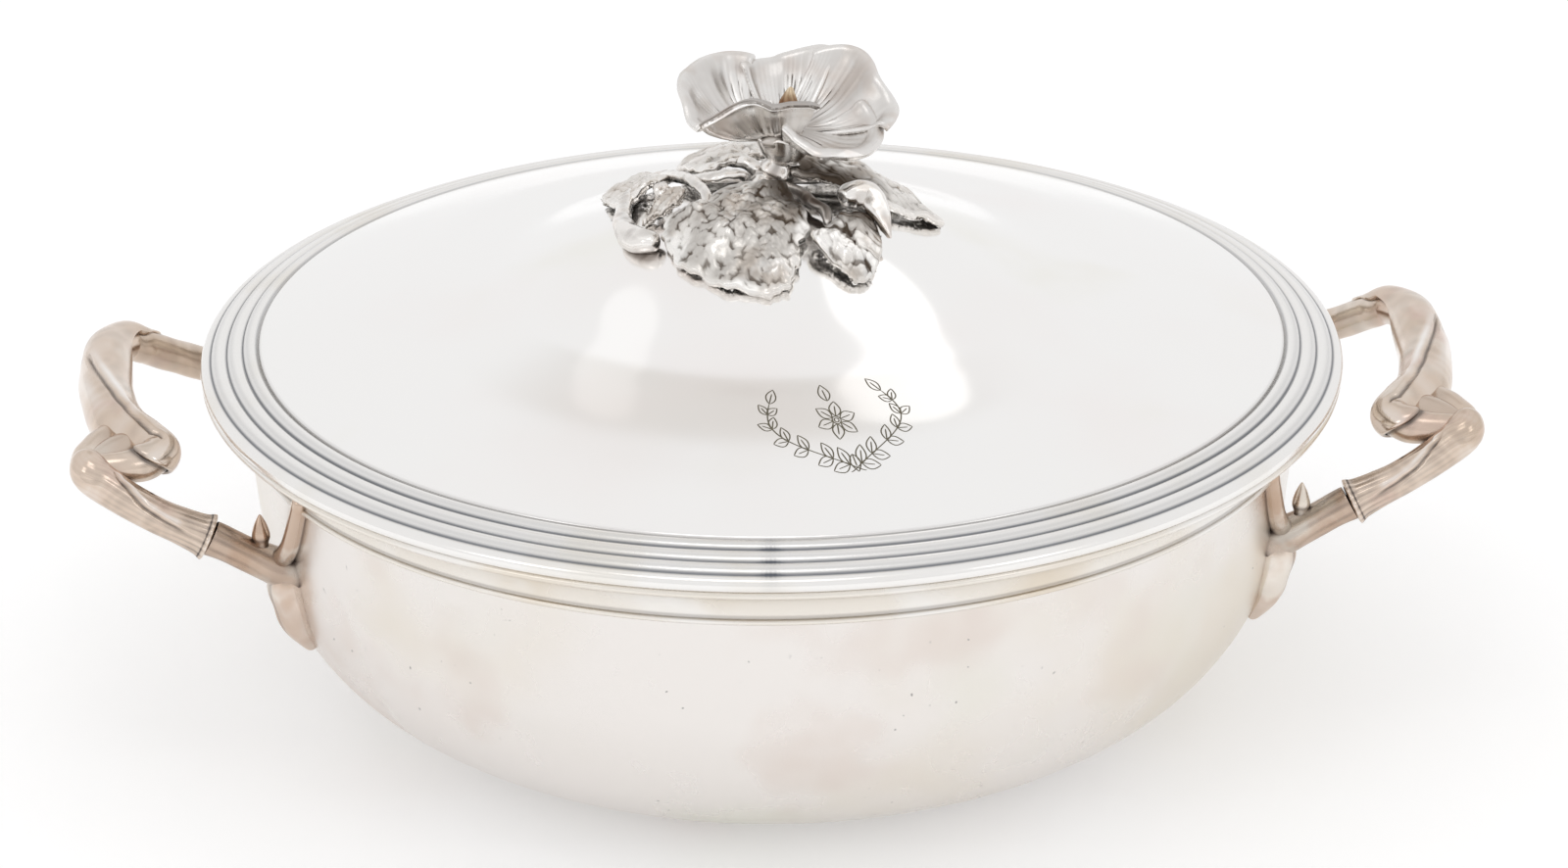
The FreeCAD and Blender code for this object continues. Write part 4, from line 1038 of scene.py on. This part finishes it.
# Leaves: broad cast leaves lie over the dome on their shoots, arched between their rims. The
# chaser has worked them with veins and with pebbles like the skin of a primrose leaf.
leaf_sheet = 1.6
leaf_rows = {
    "leaf_front": (0.1, 2.6, 3.2, 1.95, 0.7, -111, 0.62, 1.0, ( (0.16, -128), (0.35, -152), (0.5, -140),
        (0.57, -152), (0.67, -156), (0.77, -146), (0.88, -133), (0.95, -119), (1.01, -106), (1.03, -94),
        (0.99, -88), (0.87, -83), (0.71, -79), (0.59, -71), (0.41, -69), (0.2, -70))),
    "leaf_front_right": (0.2, 2.4, 2.6, 2.5, 0.75, -58, 0.78, 0.35, ( (0.72, -76), (0.64, -66),
        (0.57, -45), (0.64, -35), (0.8, -42), (0.92, -52), (1.0, -59), (1.01, -65), (0.92, -69))),
    "leaf_rear_right": (0.4, 3.4, 1.6, 2.3, 0.7, 14, 0.56, 0.3, ( (0.13, 50), (0.42, 58), (0.74, 44),
        (0.78, 20), (0.86, 7), (1.0, -3), (0.87, -9), (0.75, -15), (0.64, -22), (0.46, -22),
        (0.28, -26), (0.14, -30))),
    "leaf_rear_left": (1.6, 2.0, 2.2, 2.3, 0.7, 118, 0.6, 0.3, ( (0.42, 160), (0.6, 146), (0.84, 128),
        (0.94, 113), (0.92, 98), (0.8, 84), (0.5, 76), (0.26, 84), (0.22, 120), (0.3, 150))),
    "leaf_far_left": (0.6, 1.4, 1.6, 2.0, 0.7, 155, 0.92, 0.3, ( (1.1, 150), (1.14, 142), (1.08, 133),
        (0.92, 131), (0.76, 138), (0.68, 150), (0.72, 162), (0.85, 167), (1.0, 160))),
    "leaflet_left": (0.6, 1.0, 1.4, 1.8, 0.6, 176, 0.62, 0.5, ( (0.76, -168), (0.68, -174), (0.58, 178),
        (0.5, -178), (0.5, -168), (0.6, -162), (0.7, -164))),
}


def pebbles(spot, cell, seed):
    """Round pebbles round scattered points: a dome 1 - (distance / 0.66 of a cell) squared for each, and
    where two meet only the nearer counts, so a groove is left; and a chance height for each pebble."""
    chance = np.random.default_rng(seed)
    low, high = spot.reshape(-1, 2).min(0), spot.reshape(-1, 2).max(0)
    count = ((high - low) / cell).astype(int) + 1
    column, row = np.meshgrid(np.arange(count[0]), np.arange(count[1]))
    slow, quick = spot[..., ::-1] * (2.3 / cell) + seed, spot[..., ::-1] * (7.3 / cell)
    spot = spot + 0.16 * cell * np.sin(slow) + 0.07 * cell * np.sin(quick)
    middles = np.stack([column + 0.5 * (row % 2), row], -1).reshape(-1, 2)
    middles = low + cell * (middles + chance.uniform(-0.36, 0.36, (count.prod(), 2)))
    gap = ((spot.reshape(-1, 1, 2) - middles) ** 2).sum(-1)
    dome = np.clip(1 - gap.min(-1) / (0.66 * cell) ** 2, -0.1, 1)
    height = chance.uniform(0.45, 1, len(middles))[gap.argmin(-1)]
    return dome.reshape(spot.shape[:2]), height.reshape(spot.shape[:2])


leaf_silver = silver("leaf_silver", (0.76, 0.73, 0.69),
                     [((0.60, 0.545, 0.49), 0.011, 0.45, 0.65, 0.22),
                      ((0.86, 0.84, 0.81), 0.009, 0.5, 0.66, 0.72)],
                     0.27, 0.00002, tarnish_and_shade_colour=(0.105, 0.08, 0.06), brush=0.5, pocket=0.003)
leaf_out = (1 - (1 - np.linspace(0, 1, 96)) ** 1.25)[:, None]
leaf_round = np.linspace(0, 1, 241)[None, :]
for number, (name, leaf_row) in enumerate(leaf_rows.items()):
    edge_lift, tilt, crown, cell, depth, turn, reach, scallop, outline = leaf_row
    rim = polar(*np.array(outline).T)
    following = np.roll(rim, -1, axis=0)
    if (rim[:, 0] * following[:, 1] - rim[:, 1] * following[:, 0]).sum() < 0:
        rim = rim[::-1]
    rim = np.concatenate([rim[-2:], rim, rim[:3]]) * cluster_reach
    rim_line = along(rim, 2 + leaf_round * len(outline))
    middle = polar(cluster_reach * reach, turn)
    scallops = np.sin(2 * np.pi * 13 * leaf_round + number) + 0.6 * np.sin(2 * np.pi * 29 * leaf_round)
    spot = middle + (rim_line - middle) * leaf_out[..., None] * (1 + 0.022 * scallop * scallops)[..., None]
    ahead = middle / np.linalg.norm(middle)
    run, across = (spot - middle) @ ahead, (spot - middle) @ np.array([-ahead[1], ahead[0]])
    cells, heights = pebbles(spot, cell, 100 + number)
    grains, grain_heights = pebbles(spot, 0.5 * cell, 150 + number)
    pebble = unit(cells)
    inner = unit((1 - leaf_out) * 9)
    veins = mound(across + 0.8 * np.sin(run / 6), 0.3)
    veins = veins + 0.6 * mound(((run - 0.7 * np.abs(across)) / 5.2) % 1 - 0.5, 0.06)
    veins = unit(veins) * inner * (1 - 0.75 * scallop)
    shaded = mound(np.linalg.norm(spot - shade_middle, axis=-1), shade_reach)
    chased = heights * (np.sqrt(pebble) - 0.5) + 0.12 * grain_heights * grains
    rise = edge_lift + tilt * 0.5 * (1 - run / run.max()) + leaf_sheet + crown * (1 - leaf_out ** 2.2)
    rise = rise + depth * inner * (1 - shaded) * chased - 0.45 * veins
    points = np.concatenate([spot, (dome_height(np.linalg.norm(spot, axis=-1)) + rise)[..., None]], -1)
    flat = points * (1, 1, 0)
    points[..., 2] += 0.6 * lumps(flat, 11, 120 + number) + 0.3 * lumps(flat, 4.5, 130 + number) * inner
    front, back = thin_sheet(points, leaf_sheet, ring=True)
    patches = unit(0.6 + lumps(points, 14, 140 + number))
    # The front leaves take the full darkening of grooves, veins and patches; the others take 0.55 of it and
    # are lightened a little overall.
    darkening_share = 1.0 if name.startswith("leaf_front") else 0.55
    marks = (darkening_share * (0.6 * mound(pebble, 0.16) * inner + 0.1 * (1 - grains) + 0.5 * veins
                        + 0.24 * (1 - patches))
             - 0.3 * (1 - darkening_share) - 0.45 * inner * patches * heights * unit(cells * 2 - 0.9)
             - 0.5 * (1 - inner) + 1.8 * shaded)
    # Painted light: the undersides take a share of -0.6, so they are lightened towards the rubbed colour and
    # read pale in shade and in the dome's reflection.
    leaf = surface(name.replace("leaf", "chased_leaf"), leaf_silver, (front, marks), (back, -0.6))
    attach(leaf, "lid")
    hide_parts(name)
